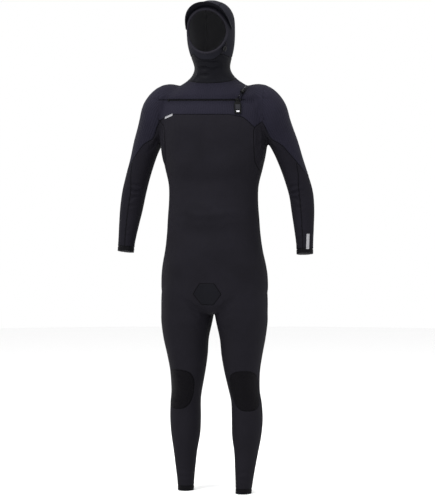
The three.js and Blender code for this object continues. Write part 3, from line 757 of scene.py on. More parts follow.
SEAMS += [
    ("leg side", leg_side, outer_leg, True),
    (
        "back yoke",
        lambda p: p[:, 2] - BACK_YOKE,
        lambda p: (p[:, 1] > 0) & (ax(p) < side_edge(p[:, 2])),
        True,
    ),
    (
        "gusset",
        gusset,
        lambda p: (p[:, 1] < 0) & (p[:, 2] < 130) & (p[:, 2] > 10) & (ax(p) < 70),
        True,
    ),
    ("gusset tail", lambda p: p[:, 0], lambda p: (p[:, 2] < 31) & (p[:, 2] > -20) & (p[:, 1] < 0), False),
    ("leg opening", leg_opening, lambda p: (ax(p) < 215) & (p[:, 2] < 130) & (p[:, 2] > -20), False),
    ("hip line", hip_line, lambda p: (ax(p) < 240) & (p[:, 2] < 0) & (p[:, 2] > -170), False),
    ("knee top", lambda p: p[:, 2] - KNEE_TOP, lambda p: ax(p) < 200, False),
    ("knee low", lambda p: p[:, 2] - KNEE_BOTTOM, lambda p: ax(p) < 200, False),
    ("knee pad", knee_pad, lambda p: (p[:, 2] < KNEE_TOP) & (p[:, 2] > KNEE_BOTTOM), True),
    ("ankle top", lambda p: p[:, 2] + INSEAM - HEM, everywhere, True),
    (
        "forearm seam",
        lambda p: ax(p) - forearm_seam(p[:, 2]),
        lambda p: is_arm(p) & (p[:, 1] < sleeve_front(p[:, 2])) & (p[:, 2] < 519) & (p[:, 2] > 215),
        True,
    ),
]
print(len(SEAMS), "seams in all")

# %% [markdown]
# An edge is split where the field changes sign, at the share of its length where the zero falls, and the
# new points are joined across the faces. Bisecting with planes would only cut straight. A seam that shows
# is cut twice more, a groove's width to each side, so that the groove has its own edges to bend along.

# %% Cut along one field
GROOVE = 2.4
# Points nearer than this to the line are taken to lie on it.
ON_LINE = 0.6


def cut(bm, field, region, level):
    """Splits the mesh along field = level inside region. Gives the points on the line."""
    copy = bpy.data.meshes.new("copy")
    bm.to_mesh(copy)
    p = points_mm(copy)
    ends = np.empty(2 * len(copy.edges), np.int32)
    copy.edges.foreach_get("vertices", ends)
    a, b = ends.reshape(-1, 2).T
    bpy.data.meshes.remove(copy)
    verts = list(bm.verts)
    all_edges = list(bm.edges)
    f = field(p) - level
    ok = region(p)
    close = np.abs(f) < ON_LINE
    f[close] = 0
    hit = np.flatnonzero((f[a] * f[b] < 0) & (ok[a] | ok[b]))
    on = [verts[i] for i in np.flatnonzero(close & ok)]
    for e, i, j in zip([all_edges[k] for k in hit], a[hit], b[hit]):
        share = abs(f[i]) / (abs(f[i]) + abs(f[j]))
        _, v = bmesh.utils.edge_split(e, verts[i], float(share))
        on.append(v)
    if on:
        bmesh.ops.connect_verts(bm, verts=on, check_degenerate=True)
    return on


print("groove", GROOVE, "mm to each side of a seam")

# %% [markdown]
# At the face, the wrists and the ankles the cloth simply ends, so what lies past those lines is thrown
# away.

# %% Cut the whole pattern
OPEN_ENDS = ("face", "wrist end", "ankle end")


def drop_inside(bm, field, region):
    """Deletes the faces whose middle has a negative field."""
    bm.faces.ensure_lookup_table()
    p = np.array([f.calc_center_median() for f in bm.faces]) / MM
    gone = np.flatnonzero((field(p) < 0) & region(p))
    bmesh.ops.delete(bm, geom=[bm.faces[i] for i in gone], context="FACES")


def cut_all(mesh):
    """Cuts every seam, and marks the points of those that show."""
    bm = bmesh.new()
    bm.from_mesh(mesh)
    seam_layer = bm.verts.layers.float.new("seam")
    for name, field, region, shows in SEAMS:
        on = cut(bm, field, region, 0.0)
        if shows:
            for v in on:
                v[seam_layer] = 1.0
            for level in (-GROOVE, GROOVE):
                cut(bm, field, region, level)
        if name in OPEN_ENDS:
            drop_inside(bm, field, region)
    bm.normal_update()
    bm.to_mesh(mesh)
    bm.free()
    mesh.update()


cut_all(skin.data)
print("the cut skin has", len(skin.data.polygons), "faces")

# %% [markdown]
# ## Panels
# Every face is named by where its middle lies between the seams. The rules are read from the top, and the
# first that holds gives the name, with S_ standing for the side.


# %% Name the faces
def panel_names(p):
    """The panel that each point belongs to."""
    x, y, z = p.T
    a = np.abs(x)
    side = np.where(x > 0, "left", "right")
    arm = is_arm(p) & (a > ARMHOLE)
    above = z > shoulder_edge(a)
    rules = [
        ((jaw(p) > 0) & (a < CROWN_HALF) & ((y > -70) | (z > 1000)), "hood_crown_panel"),
        (jaw(p) > 0, "S_hood_side_panel"),
        ((collar(p) > 0) & (a < 140) & (y < 0), "neck_front_panel"),
        ((collar(p) > 0) & (a < 140), "neck_back_panel"),
        (arm & (wrist_top(p) < 0), "S_wrist_cuff"),
        (arm & (elbow_low(p) < 0), "S_forearm_sleeve"),
        (arm & (elbow_top(p) < 0), "S_elbow_panel"),
        ((a > ARMHOLE + BAND) & (z > 300) & above, "S_upper_sleeve"),
        ((a > ARMHOLE + BAND) & (z > 300), "S_underarm_panel"),
        ((a > ARMHOLE) & (z > 470) & above, "S_armhole_panel"),
        ((a > ARMHOLE) & (z > 470), "S_armpit_panel"),
        (z < HEM - INSEAM, "S_ankle_cuff"),
        (z < KNEE_BOTTOM, "S_lower_leg"),
        ((z < KNEE_TOP) & (knee_pad(p) < 0), "S_knee_pad"),
        (z < KNEE_TOP, "S_knee_back_panel"),
        ((hip_line(p) < 0) & (z < 0), "S_thigh_panel"),
        (leg_opening(p) < 0, "S_hip_panel"),
        ((gusset(p) < 0) & (y < 0), "gusset_panel"),
        ((z > 455) & (z < 664) & (a > side_edge(z)), "S_body_side_panel"),
        ((y > 0) & (z > BACK_YOKE), "back_yoke_panel"),
        (y > 0, "back_body_panel"),
        ((z > ZIP_HEIGHT) & (x < flap_edge(z)), "entry_flap"),
        ((z < ZIP_HEIGHT) & (z > zip_low(x)) & (x < FLAP_X), "chest_zip_panel"),
        (z > zip_low(x), "left_chest_panel"),
    ]
    out = np.full(len(p), "front_body_panel", dtype=object)
    done = np.zeros(len(p), bool)
    for test, name in rules:
        pick = test & ~done
        if name.startswith("S_"):
            out[pick] = [name.replace("S_", s + "_") for s in side[pick]]
        else:
            out[pick] = name
        done |= pick
    return out


print("a point on the belly is in", panel_names(np.array([[0, -100.0, 300]]))[0])

# %% [markdown]
# ## Grooves, stance and measures
# Glued seams sink a little between slightly raised lips. The distance from every point to its nearest
# seam does three jobs: it presses the groove in now, and later it paints a dark line of shade in the
# groove and draws the stitches. The legs are then stepped apart by sliding each one, which leaves their
# girths alone.

# %% Edges, faces and distances
GROOVE_DEEP = 1.4
LIP_HIGH = 0.4
LIP_AT = 5.2
LIP_WIDE = 2.4


def polygons(mesh):
    """A mesh's faces, each as an array of point numbers."""
    total = np.empty(len(mesh.polygons), np.int32)
    mesh.polygons.foreach_get("loop_total", total)
    index = np.empty(len(mesh.loops), np.int32)
    mesh.loops.foreach_get("vertex_index", index)
    return np.split(index, np.cumsum(total)[:-1])


def seam_distance(mesh, p):
    """How far each point is from the nearest seam that shows."""
    marks = np.empty(len(mesh.vertices), np.float32)
    mesh.attributes["seam"].data.foreach_get("value", marks)
    seam = marks > 0.5
    ends = np.empty(2 * len(mesh.edges), np.int32)
    mesh.edges.foreach_get("vertices", ends)
    ends = ends.reshape(-1, 2)
    ends = ends[seam[ends].all(axis=1)]
    along = [p[ends[:, 0]] * (1 - k) + p[ends[:, 1]] * k for k in (0.25, 0.5, 0.75)]
    along = np.concatenate([p[seam]] + along)
    tree = KDTree(len(along))
    for i, q in enumerate(along):
        tree.insert(q, i)
    tree.balance()
    return np.array([tree.find(q)[2] for q in p])


print("grooves", GROOVE_DEEP, "mm deep")


# %% Finish the skin
def finish_skin(mesh):
    """Presses the seams in, steps the legs apart, and gives what every panel needs to know."""
    p = points_mm(mesh)
    centres = np.empty(3 * len(mesh.polygons), np.float32)
    mesh.polygons.foreach_get("center", centres)
    names = panel_names(centres.reshape(-1, 3).astype(float) / MM)
    near = seam_distance(mesh, p)
    lip = LIP_HIGH * np.exp(-(((near - LIP_AT) / LIP_WIDE) ** 2))
    press = lip - GROOVE_DEEP * np.clip(1 - near / GROOVE, 0, 1)
    q = p + vertex_normals(mesh) * press[:, None]
    q[:, 1] += np.sign(p[:, 0]) * STRIDE * np.minimum(p[:, 2], 0) / INSEAM
    mesh.vertices.foreach_set("co", (q * MM).ravel())
    mesh.update()
    return p, q, vertex_normals(mesh), near, names, polygons(mesh)


rest, placed, normal, near, face_names, faces = finish_skin(skin.data)
bpy.data.objects.remove(skin)
print(len(set(face_names)), "panels on", len(faces), "faces")

# %% [markdown]
# ## Ribs
# The chest, the yoke and the shoulders are a ribbed knit, with a rib about every 7 mm. The ribs run up
# and down and part round the body, so each point is given its distance round the trunk or the sleeve. A
# plain x would bunch the ribs at the sides.

# %% How far round each point lies
RIB = 7.0
# Millimetres for each radian round the trunk, made to fit a whole number of ribs, and round the sleeve.
TRUNK_ROUND = RIB * 135 / (2 * math.pi)
SLEEVE_ROUND = 50
SLEEVE_START = 150


def rib_coordinates(p):
    """How far round the body or the arm each point lies, in millimetres."""
    rows = np.array([r[:4] for r in TRUNK], float)
    half, deep, back = (np.interp(p[:, 2], rows[:, 0], rows[:, k]) for k in (1, 2, 3))
    across = ax(p) / np.maximum(half, 60)
    forward = -(p[:, 1] - back) / np.maximum(deep, 60)
    around = np.arctan2(across, forward) * TRUNK_ROUND
    r = np.array([(r[0], r[1], r[4]) for r in SLEEVE])[::-1]
    x = np.interp(p[:, 2], r[:, 0], r[:, 1])
    y = np.interp(p[:, 2], r[:, 0], r[:, 2])
    turn = np.arctan2(ax(p) - x, -(p[:, 1] - y)) * SLEEVE_ROUND
    return np.where(ax(p) > ARMHOLE, turn + SLEEVE_START, around)


ribs = rib_coordinates(rest)
skin_tree = BVHTree.FromPolygons((placed * MM).tolist(), [f.tolist() for f in faces])
data = {"edge": near, "rib": ribs}
print("half way round the body is", round(float(ribs.max())), "mm of ribs")

# %% [markdown]
# ## From a patch of skin to a sheet of neoprene
# A panel is a sheet with an outside, a lining and a cut edge. The Solidify modifier makes one too, but
# here the outside keeps the skin's own normals, so that two panels shade as one surface across their
# seam. The lining is the outside pushed in by the cloth's thickness, and the rim joins them.


# %% One panel
def panel_normals(verts, outer, inner, walls, nv):
    """The skin's own normals on both faces of the sheet, and square ones on its rim."""
    loops = np.concatenate(outer + inner + walls)
    normals = np.vstack([nv, -nv])[loops]
    if walls:
        flat = sum(len(f) for f in outer + inner)
        w = np.array(walls)
        side = np.cross(verts[w[:, 1]] - verts[w[:, 0]], verts[w[:, 2]] - verts[w[:, 0]])
        side /= np.linalg.norm(side, axis=1, keepdims=True) + 1e-9
        normals[flat:] = np.repeat(side, 4, axis=0)
    return normals.tolist()


def thick_panel(name, own_faces, shift=None):
    """One panel as a closed sheet: its outside, its lining and the rim between them."""
    used = np.unique(np.concatenate(own_faces))
    number = np.full(len(placed), -1)
    number[used] = np.arange(len(used))
    outer = [number[f] for f in own_faces]
    v = placed[used] if shift is None else shift(placed[used])
    nv = normal[used]
    count = len(used)
    directed = {(int(a), int(b)): True for f in outer for a, b in zip(f, np.roll(f, -1))}
    rim = [(a, b) for a, b in directed if (b, a) not in directed]
    inner = [f[::-1] + count for f in outer]
    walls = [np.array((b, a, a + count, b + count)) for a, b in rim]
    verts = np.vstack([v, v - nv * WALL])
    obj = mesh_object(name, verts, outer + inner + walls)
    mesh = obj.data
    mesh.polygons.foreach_set("use_smooth", np.ones(len(mesh.polygons), bool))
    mesh.normals_split_custom_set(panel_normals(verts, outer, inner, walls, nv))
    for key, values in data.items():
        layer = mesh.attributes.new(key, "FLOAT", "POINT")
        layer.data.foreach_set("value", np.tile(values[used], 2).astype(np.float32))
    lining = mesh.attributes.new("lining", "FLOAT", "FACE")
    flags = np.zeros(len(mesh.polygons), np.float32)
    flags[len(outer) : len(outer) + len(inner)] = 1
    lining.data.foreach_set("value", flags)
    return obj


print("panels are", WALL, "mm thick")

# %% [markdown]
# Along the zip the flap and the band stand apart, so that the chain shows between them. The flap's lower
# edge also rises a little, with a soft welt above it, where the real one is folded over the tape.

# %% The gap at the zip
GAP = 1.6
FLAP_RISE = 2.4
WELT = 3.0
WELT_ABOVE = 11


def zip_gap(direction):
    """Gives the function that parts a panel from the zip, up for the flap and down for the band."""

    def shift(v):
        v = v.copy()
        ends = smooth_step((v[:, 0] - ZIP_X[0] + 6) / 10) * smooth_step((ZIP_X[1] + 8 - v[:, 0]) / 10)
        push = np.exp(-(((v[:, 2] - ZIP_HEIGHT) / 9) ** 2)) * ends * (v[:, 1] < 0)
        v[:, 2] += direction * GAP * push
        if direction > 0:
            welt = np.exp(-(((v[:, 2] - ZIP_HEIGHT - WELT_ABOVE) / 5) ** 2)) * ends * (v[:, 1] < 0)
            welt *= smooth_step((ZIP_X[1] - 14 - v[:, 0]) / 10)
            v[:, 1] -= FLAP_RISE * push + WELT * welt
        return v

    return shift


SHIFTS = {"entry_flap": zip_gap(1), "chest_zip_panel": zip_gap(-1)}
print("gap at the zip", 2 * GAP, "mm")

# %% Make all the panels
panels = {}
for name in sorted(set(face_names)):
    own = [faces[i] for i in np.flatnonzero(face_names == name)]
    panels[name] = thick_panel(name + "_cloth", own, SHIFTS.get(name))
print(len(panels), "panels, the largest with", max(len(o.data.vertices) for o in panels.values()), "points")

# %% [markdown]
# ## Materials
# Colours are sRGB hex values, as a dyer's chart gives them, and one function turns them to the linear
# values that Blender mixes. One more function adds a node with its settings and links. A pattern's scale
# is worked out from the real size of what it stands for.

# %% Colour, scale and nodes
def linear(text):
    """A hex colour as linear red, green, blue and alpha."""
    value = [int(text[i : i + 2], 16) / 255 for i in (1, 3, 5)]
    return [c / 12.92 if c <= 0.04045 else ((c + 0.055) / 1.055) ** 2.4 for c in value] + [1.0]


def every(size_mm):
    """The texture scale that repeats about every so many millimetres."""
    return 1 / (size_mm * MM)


def fill(tree, node, inputs):
    """Sets each named input of a node, or links it."""
    for key, value in inputs.items():
        if isinstance(value, bpy.types.NodeSocket):
            tree.links.new(value, node.inputs[key])
        else:
            node.inputs[key].default_value = value
    return node


def add(tree, kind, inputs, **settings):
    """Adds a node with its settings, values and links."""
    node = tree.nodes.new("ShaderNode" + kind)
    for key, value in settings.items():
        setattr(node, key, value)
    return fill(tree, node, inputs)


def new_material(name):
    """A material with its node tree."""
    material = bpy.data.materials.new(name)
    material.use_nodes = True
    return material, material.node_tree


print("mid grey in linear light:", round(linear("#808080")[0], 3))

# %% [markdown]
# ### Jersey glued on neoprene
# The outside of most panels is nylon jersey, knitted so fine that the loops hardly show: about 1.6 mm
# here, coarser than the real 0.5 mm, so that they show at all. It is matt and soaks up light. The dye
# varies slowly over a hand's breadth, the foam under it makes soft hollows, and each seam's groove is
# painted with a dark line of shade, with a row of stitches beside it. The painted shade line could be
# drawn from a picture, but the distance to the seam that each point carries keeps it sharp at any size.

# %% Sizes of the cloth's patterns, in millimetres
DYE = 111
HOLLOW = 62.5
YARN = 1.11
LOOP = 1.61
# How high each stands, against the bump's distance of 1.1 mm.
HOLLOW_HIGH = 1.6
LOOP_HIGH = 0.25
STITCH_HIGH = 0.35
STITCH_AT = 3.4
RELIEF_M = 0.0011
# Painted shade: the near-black line painted into each seam's groove.
GROOVE_SHADE = "#040405"
LINING = "#48484b"
print("dye", DYE, "mm, knit loop", LOOP, "mm")


# %% Shade and height of the plain knit
def knit(tree, where, dark, light, grain):
    """The slow dye, the fine yarn and the loops: gives the dye, the colour and the height."""
    look = {"Vector": where, "Scale": every(DYE), "Detail": 4.0, "Roughness": 0.6}
    dye = add(tree, "TexNoise", look).outputs["Fac"]
    look = {"Vector": where, "Scale": every(YARN), "Detail": 2.0, "Roughness": 0.5}
    yarn = add(tree, "TexNoise", look).outputs["Fac"]
    look = {"Vector": where, "Scale": every(HOLLOW), "Detail": 2.0, "Roughness": 0.4}
    hollow = add(tree, "TexNoise", look).outputs["Fac"]
    look = {"Vector": where, "Scale": every(LOOP)}
    loop = add(tree, "TexVoronoi", look, feature="F1").outputs["Distance"]
    slow = add(tree, "Math", {0: dye, 1: 0.65}, operation="MULTIPLY").outputs[0]
    both = add(tree, "Math", {0: yarn, 1: 0.35, 2: slow}, operation="MULTIPLY_ADD").outputs[0]
    share = add(tree, "MapRange", {"Value": both, "From Min": 0.3, "From Max": 0.7}).outputs["Result"]
    shade = add(tree, "Mix", {0: share, 6: linear(dark), 7: linear(light)}, data_type="RGBA").outputs[2]
    fine = add(tree, "Math", {0: loop, 1: LOOP_HIGH * grain}, operation="MULTIPLY").outputs[0]
    height = add(tree, "Math", {0: hollow, 1: HOLLOW_HIGH, 2: fine}, operation="MULTIPLY_ADD").outputs[0]
    return dye, shade, height


print("knit ready")


# %% Ribs and seam lines
def ribbed(tree, shade, height, light, rib):
    """Rows of ribs, with a painted highlight that makes their tops a little lighter."""
    around = add(tree, "Attribute", {}, attribute_name="rib").outputs["Fac"]
    turns = add(tree, "Math", {0: around, 1: 2 * math.pi / RIB}, operation="MULTIPLY").outputs[0]
    wave = add(tree, "Math", {0: turns}, operation="COSINE").outputs[0]
    wave = add(tree, "Math", {0: wave, 1: 0.5, 2: 0.5}, operation="MULTIPLY_ADD").outputs[0]
    height = add(tree, "Math", {0: wave, 1: rib, 2: height}, operation="MULTIPLY_ADD").outputs[0]
    # Painted highlight: each rib's top is mixed towards the light colour.
    top = add(tree, "Math", {0: wave, 1: 0.35}, operation="MULTIPLY").outputs[0]
    shade = add(tree, "Mix", {0: top, 6: shade, 7: linear(light)}, data_type="RGBA").outputs[2]
    return shade, height


def seamed(tree, shade, height):
    """A painted dark line of shade in the groove, and the row of stitches beside it."""
    edge = add(tree, "Attribute", {}, attribute_name="edge").outputs["Fac"]
    # Painted shade: the colour goes to near black within about 1.7 mm of a seam.
    clear = add(tree, "MapRange", {"Value": edge, "From Min": 0.5, "From Max": 1.7}).outputs["Result"]
    shade = add(tree, "Mix", {0: clear, 6: linear(GROOVE_SHADE), 7: shade}, data_type="RGBA").outputs[2]
    off = add(tree, "Math", {0: edge, 1: STITCH_AT}, operation="SUBTRACT").outputs[0]
    off = add(tree, "Math", {0: off}, operation="ABSOLUTE").outputs[0]
    keys = {"Value": off, "From Min": 0.3, "From Max": 0.9, "To Min": 1.0, "To Max": 0.0}
    stitch = add(tree, "MapRange", keys).outputs["Result"]
    height = add(tree, "Math", {0: stitch, 1: STITCH_HIGH, 2: height}, operation="MULTIPLY_ADD").outputs[0]
    return shade, height


print("ribs every", RIB, "mm, stitches", STITCH_AT, "mm from the seam")


# %% A cloth
def cloth(name, dark, light, rough=0.75, sheen=0.0, rib=0.0, grain=0.6, seam=True, relief=None):
    """Cloth or skin on neoprene: the knit, then ribs, relief and seams where it has them."""
    material, tree = new_material(name)
    where = add(tree, "TexCoord", {}).outputs["Object"]
    dye, shade, height = knit(tree, where, dark, light, grain)
    if rib:
        shade, height = ribbed(tree, shade, height, light, rib)
    if relief:
        height = add(tree, "Math", {0: height, 1: relief(tree, where)}, operation="ADD").outputs[0]
    if seam:
        shade, height = seamed(tree, shade, height)
    inside = add(tree, "Attribute", {}, attribute_name="lining").outputs["Fac"]
    shade = add(tree, "Mix", {0: inside, 6: shade, 7: linear(LINING)}, data_type="RGBA").outputs[2]
    keys = {"Value": dye, "From Min": 0.3, "From Max": 0.7, "To Min": rough - 0.06, "To Max": rough + 0.06}
    uneven = add(tree, "MapRange", keys).outputs["Result"]
    bump = add(tree, "Bump", {"Height": height, "Distance": RELIEF_M, "Strength": 1.0})
    look = {"Base Color": shade, "Roughness": uneven, "Normal": bump.outputs["Normal"]}
    look.update({"Sheen Weight": sheen, "Sheen Roughness": 0.45, "IOR": 1.45, "Specular IOR Level": 0.04})
    fill(tree, tree.nodes["Principled BSDF"], look)
    return material


print("cloth ready")

# %% [markdown]
# ### The suit's cloths
# Ribbed jersey is a little bluer, and it is painted lighter, most of all on each rib's top, as a painted
# highlight where each rib would catch the light. Smooth-skin neoprene has no cloth on it: it is the
# foam's own skin, less matt, and it keeps the wind off the neck, the gusset and the brim.

# %% Jersey and smooth skin
# Each rib's top is painted paler as a highlight, which reads as a blue-violet sheen from a distance.
RIBBED_JERSEY = cloth("ribbed_jersey_neoprene", "#121119", "#1b1a23", rib=0.7, sheen=0.01)
# Flat jersey looks a soft even charcoal.
# Painted light: the hood's copy of the flat jersey is a little lighter, standing in for the light on it.
HOOD_JERSEY_PAINTED_LIGHTER = cloth("hood_jersey_painted_lighter", "#121217", "#1a1a20")
PLAIN_JERSEY = cloth("plain_jersey_neoprene", "#111014", "#17161b")
# Painted shade: the sleeves' copy of the same jersey is a little darker, standing in for the shade on them.
SLEEVE_JERSEY_PAINTED_DARKER = cloth("sleeve_jersey_painted_darker", "#100f13", "#15141a")
# The foam's own skin has almost no knit, and a faint wet gleam.
SMOOTH_SKIN = cloth("smooth_skin_neoprene", "#0c0c10", "#121216", rough=0.55, grain=0.2)
print("five cloths")

# %% [markdown]
# The knee pads are rubber moulded onto the cloth in small raised hexagons, 4 mm across. The binding round
# the face is a folded strip of jersey, and the hems are covered with a black stretch tape.

# %% Knee rubber, binding and tape
PAD_CELL = 4.17


def pad_relief(tree, where):
    """Small raised hexagons."""
    look = {"Vector": where, "Scale": every(PAD_CELL), "Randomness": 0.0}
    cells = add(tree, "TexVoronoi", look, feature="DISTANCE_TO_EDGE").outputs["Distance"]
    keys = {"Value": cells, "From Min": 0.0, "From Max": 0.2, "To Min": 0.0, "To Max": 0.55}
    return add(tree, "MapRange", keys).outputs["Result"]


KNEE_RUBBER = cloth("moulded_knee_rubber", "#070609", "#0b0a0d", rough=0.6, relief=pad_relief)
BINDING = cloth("folded_jersey_binding", "#17161b", "#201f25", seam=False, grain=1.0)
HEM_TAPE = cloth("stretch_hem_tape", "#08080a", "#0d0c0f", rough=0.6, grain=1.0)
print("knee rubber in cells of", PAD_CELL, "mm")

# %% [markdown]
# ## Which panel has which cloth, and how it moves
# A panel inside one limb rides with it. A panel across a joint is left in place with its transform baked,
# and rides with no body. Parting it at the joint would open a gap when the limb bends.

# %% Cloth of each panel
# The first key found in the panel's name decides.
PANEL_CLOTH = [
    ("flap", RIBBED_JERSEY),
    ("zip_panel", RIBBED_JERSEY),
    ("left_chest", RIBBED_JERSEY),
    ("yoke", RIBBED_JERSEY),
    ("armhole", RIBBED_JERSEY),
    ("upper_sleeve", RIBBED_JERSEY),
    ("hood", HOOD_JERSEY_PAINTED_LIGHTER),
    ("knee_pad", KNEE_RUBBER),
    ("cuff", HEM_TAPE),
    ("neck", SMOOTH_SKIN),
    ("underarm", SLEEVE_JERSEY_PAINTED_DARKER),
    ("gusset", SMOOTH_SKIN),
    ("forearm", SLEEVE_JERSEY_PAINTED_DARKER),
    ("elbow", SLEEVE_JERSEY_PAINTED_DARKER),
    ("", PLAIN_JERSEY),
]
bodies = frame["record"]["behaviour"]["bodies"]
body_of = {node: body for body, nodes in bodies.items() for node in nodes}

# %% Panels across joints
# Where a blend starts and ends on the left side, in metres. S_ stands for the side.
elbow_start = tuple((ELBOW + ELBOW_REACH * ELBOW_WAY) * MM)
elbow_stop = tuple((ELBOW - ELBOW_REACH * ELBOW_WAY) * MM)
BLENDS = {
    "neck": ("torso", "hood", (0, 0, 0.838), (0, 0, 0.882)),
    "S_armhole": ("torso", "S_upper_arm", (0.185, 0, 0.69), (0.225, 0, 0.69)),
    "S_armpit": ("torso", "S_upper_arm", (0.185, 0, 0.69), (0.225, 0, 0.69)),
    "S_elbow": ("S_upper_arm", "S_forearm", elbow_start, elbow_stop),
    "S_hip": ("torso", "S_thigh", (0.1, 0, 0.047), (0.16, 0, -0.073)),
    "S_knee": ("S_thigh", "S_lower_leg", (0.105, 0, KNEE_TOP * MM), (0.105, 0, KNEE_BOTTOM * MM)),
}


def carry(obj, node):
    """Rides a panel on its solid's body, or only bakes the transform of a panel across a joint."""
    for side, s in (("left", 1), ("right", -1)):
        for key, (a, b, start, end) in BLENDS.items():
            if node.startswith(key.replace("S_", side + "_")):
                start, end = (Vector((s * p[0], p[1], p[2])) for p in (start, end))
                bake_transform(obj)
                return
    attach(obj, body_of[node])


for node, obj in panels.items():
    obj.data.materials.append(next(look for key, look in PANEL_CLOTH if key in node))
    carry(obj, node)
    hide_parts(node)
print(len(panels), "panels placed")

# %% [markdown]
# ## Hard trim
# Zip coil and slider are nylon and coated metal, the cord locks are moulded acetal, and the pull tab is
# rubber. Handling leaves them with pale rubbed patches about 6 mm across and a fine grain from the mould.

# %% Plastics and rubber
RUB = 6.25
MOULD_GRAIN = 2.38


def moulded_look(name, colour, rough=0.4):
    """Moulded plastic or rubber with rubbed patches."""
    material, tree = new_material(name)
    where = add(tree, "TexCoord", {}).outputs["Object"]
    look = {"Vector": where, "Scale": every(RUB), "Detail": 5.0, "Roughness": 0.6}
    rub = add(tree, "TexNoise", look).outputs["Fac"]
    paler = [min(1.0, c * 1.5 + 0.004) for c in linear(colour)[:3]] + [1.0]
    keys = {"Value": rub, "From Min": 0.45, "From Max": 0.75, "To Min": 0.0, "To Max": 0.25}
    share = add(tree, "MapRange", keys).outputs["Result"]
    shade = add(tree, "Mix", {0: share, 6: linear(colour), 7: paler}, data_type="RGBA").outputs[2]
    keys = {"Value": rub, "From Min": 0.3, "From Max": 0.7, "To Min": rough - 0.08, "To Max": rough + 0.1}
    uneven = add(tree, "MapRange", keys).outputs["Result"]
    look = {"Vector": where, "Scale": every(MOULD_GRAIN), "Detail": 3.0, "Roughness": 0.5}
    grain = add(tree, "TexNoise", look).outputs["Fac"]
    bump = add(tree, "Bump", {"Height": grain, "Distance": 0.00025, "Strength": 1.0})
    look = {"Base Color": shade, "Metallic": 0.0, "Roughness": uneven, "Normal": bump.outputs["Normal"]}
    look.update({"IOR": 1.47, "Specular IOR Level": 0.12})
    fill(tree, tree.nodes["Principled BSDF"], look)
    return material


# Acetal is dense and a little waxy, so its edges catch a dull light.
ACETAL = moulded_look("black_acetal", "#050506")
# Drawn nylon thread is smoother, and glints where it bends.
COIL_NYLON = moulded_look("zip_coil_nylon", "#0b0b0d", rough=0.35)
# Soft rubber is the deepest and dullest black here, and its inlay a little greyer.
TAB_RUBBER = moulded_look("pull_tab_rubber", "#030304", rough=0.8)
TAB_INLAY = moulded_look("pull_tab_inlay_rubber", "#1b1b1f", rough=0.75)
# Printed rubber is chalky: white on the tab, and a greyed silver on the cloth.
TAB_END = moulded_look("pull_tab_white_print", "#b9b9bc", rough=0.55)
PALE_PRINT = moulded_look("pale_rubber_print", "#7d7d80", rough=0.7)
print("six hard finishes")

# %% [markdown]
# The collar's elastic cord has a braided sleeve with pale flecks in the black, about 2 mm apart. The
# hood's cord is plain black.

# %% Elastic cords
FLECK = 2.08


def flecked_cord():
    """A braid with pale flecks."""
    material, tree = new_material("flecked_elastic_cord")
    where = add(tree, "TexCoord", {}).outputs["Object"]
    cells = add(tree, "TexVoronoi", {"Vector": where, "Scale": every(FLECK)}, feature="F1")
    keys = {"Value": cells.outputs["Color"], "From Min": 0.8, "From Max": 0.84}
    fleck = add(tree, "MapRange", keys).outputs["Result"]
    keys = {0: fleck, 6: linear("#0b0b0d"), 7: linear("#6c6c6e")}
    shade = add(tree, "Mix", keys, data_type="RGBA").outputs[2]
    bump = add(tree, "Bump", {"Height": cells.outputs["Distance"], "Distance": 0.0004, "Strength": 1.0})
    look = {"Base Color": shade, "Roughness": 0.8, "Specular IOR Level": 0.06}
    look["Normal"] = bump.outputs["Normal"]
    fill(tree, tree.nodes["Principled BSDF"], look)
    return material


FLECKED_CORD = flecked_cord()
PLAIN_CORD = moulded_look("plain_elastic_cord", "#0b0b0d", rough=0.8)
print("flecks every", FLECK, "mm")

# %% [markdown]
# ## Making small pieces
# Cords and bindings are tubes, swept along a line without twisting. A curve with a bevel would do, but a
# mesh has its end caps and its exact radius at once. The rest are lofts with rounded edges.


# %% A round tube
def tube(name, points, radius, sides=12, closed=False):
    """A round tube along points, in millimetres."""
    p = np.array(points, float)
    n = len(p)
    tangent = np.roll(p, -1, 0) - np.roll(p, 1, 0) if closed else np.gradient(p, axis=0)
    tangent /= np.linalg.norm(tangent, axis=1, keepdims=True)
    up = np.array([0.0, 0, 1]) if abs(tangent[0][2]) < 0.9 else np.array([0.0, 1, 0])
    t = np.linspace(0, 2 * math.pi, sides, endpoint=False)
    rings = []
    for at, way in zip(p, tangent):
        up = up - way * (up @ way)
        up /= np.linalg.norm(up)
        across = np.cross(way, up)
        rings.append(at + radius * (np.outer(np.cos(t), up) + np.outer(np.sin(t), across)))
    rings = np.array(rings)[:, ::-1]
    if not closed:
        return mesh_object(name, *loft(rings))
    faces = []
    for i in range(n):
        here, there = i * sides, ((i + 1) % n) * sides
        turns = [(j, (j + 1) % sides) for j in range(sides)]
        faces += [(here + j, here + k, there + k, there + j) for j, k in turns]
    return mesh_object(name, rings.reshape(-1, 3), faces)


print("tubes ready")


# %% Rounding edges, and placing a piece
def finished(obj, material, bevel=0.0, sub=0):
    """Rounds a small piece's edges, smooths it and gives it its material."""
    bm = bmesh.new()
    bm.from_mesh(obj.data)
    bmesh.ops.recalc_face_normals(bm, faces=bm.faces)
    bm.to_mesh(obj.data)
    bm.free()
    if bevel:
        edge = obj.modifiers.new("bevel", "BEVEL")
        edge.width = bevel * MM
        edge.segments = 3
        edge.limit_method = "ANGLE"
        edge.angle_limit = math.radians(40)
    if sub:
        surface = obj.modifiers.new("sub", "SUBSURF")
        surface.levels = sub
        surface.render_levels = sub
    if bevel or sub:
        apply_modifiers(obj)
    obj.data.polygons.foreach_set("use_smooth", np.ones(len(obj.data.polygons), bool))
    if bevel:
        obj.data.set_sharp_from_angle(angle=math.radians(50))
    obj.data.materials.clear()
    obj.data.materials.append(material)
    return obj


def place_on(obj, body, node):
    """Rides a piece on its body, in place of its solid."""
    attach(obj, body)
    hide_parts(node)


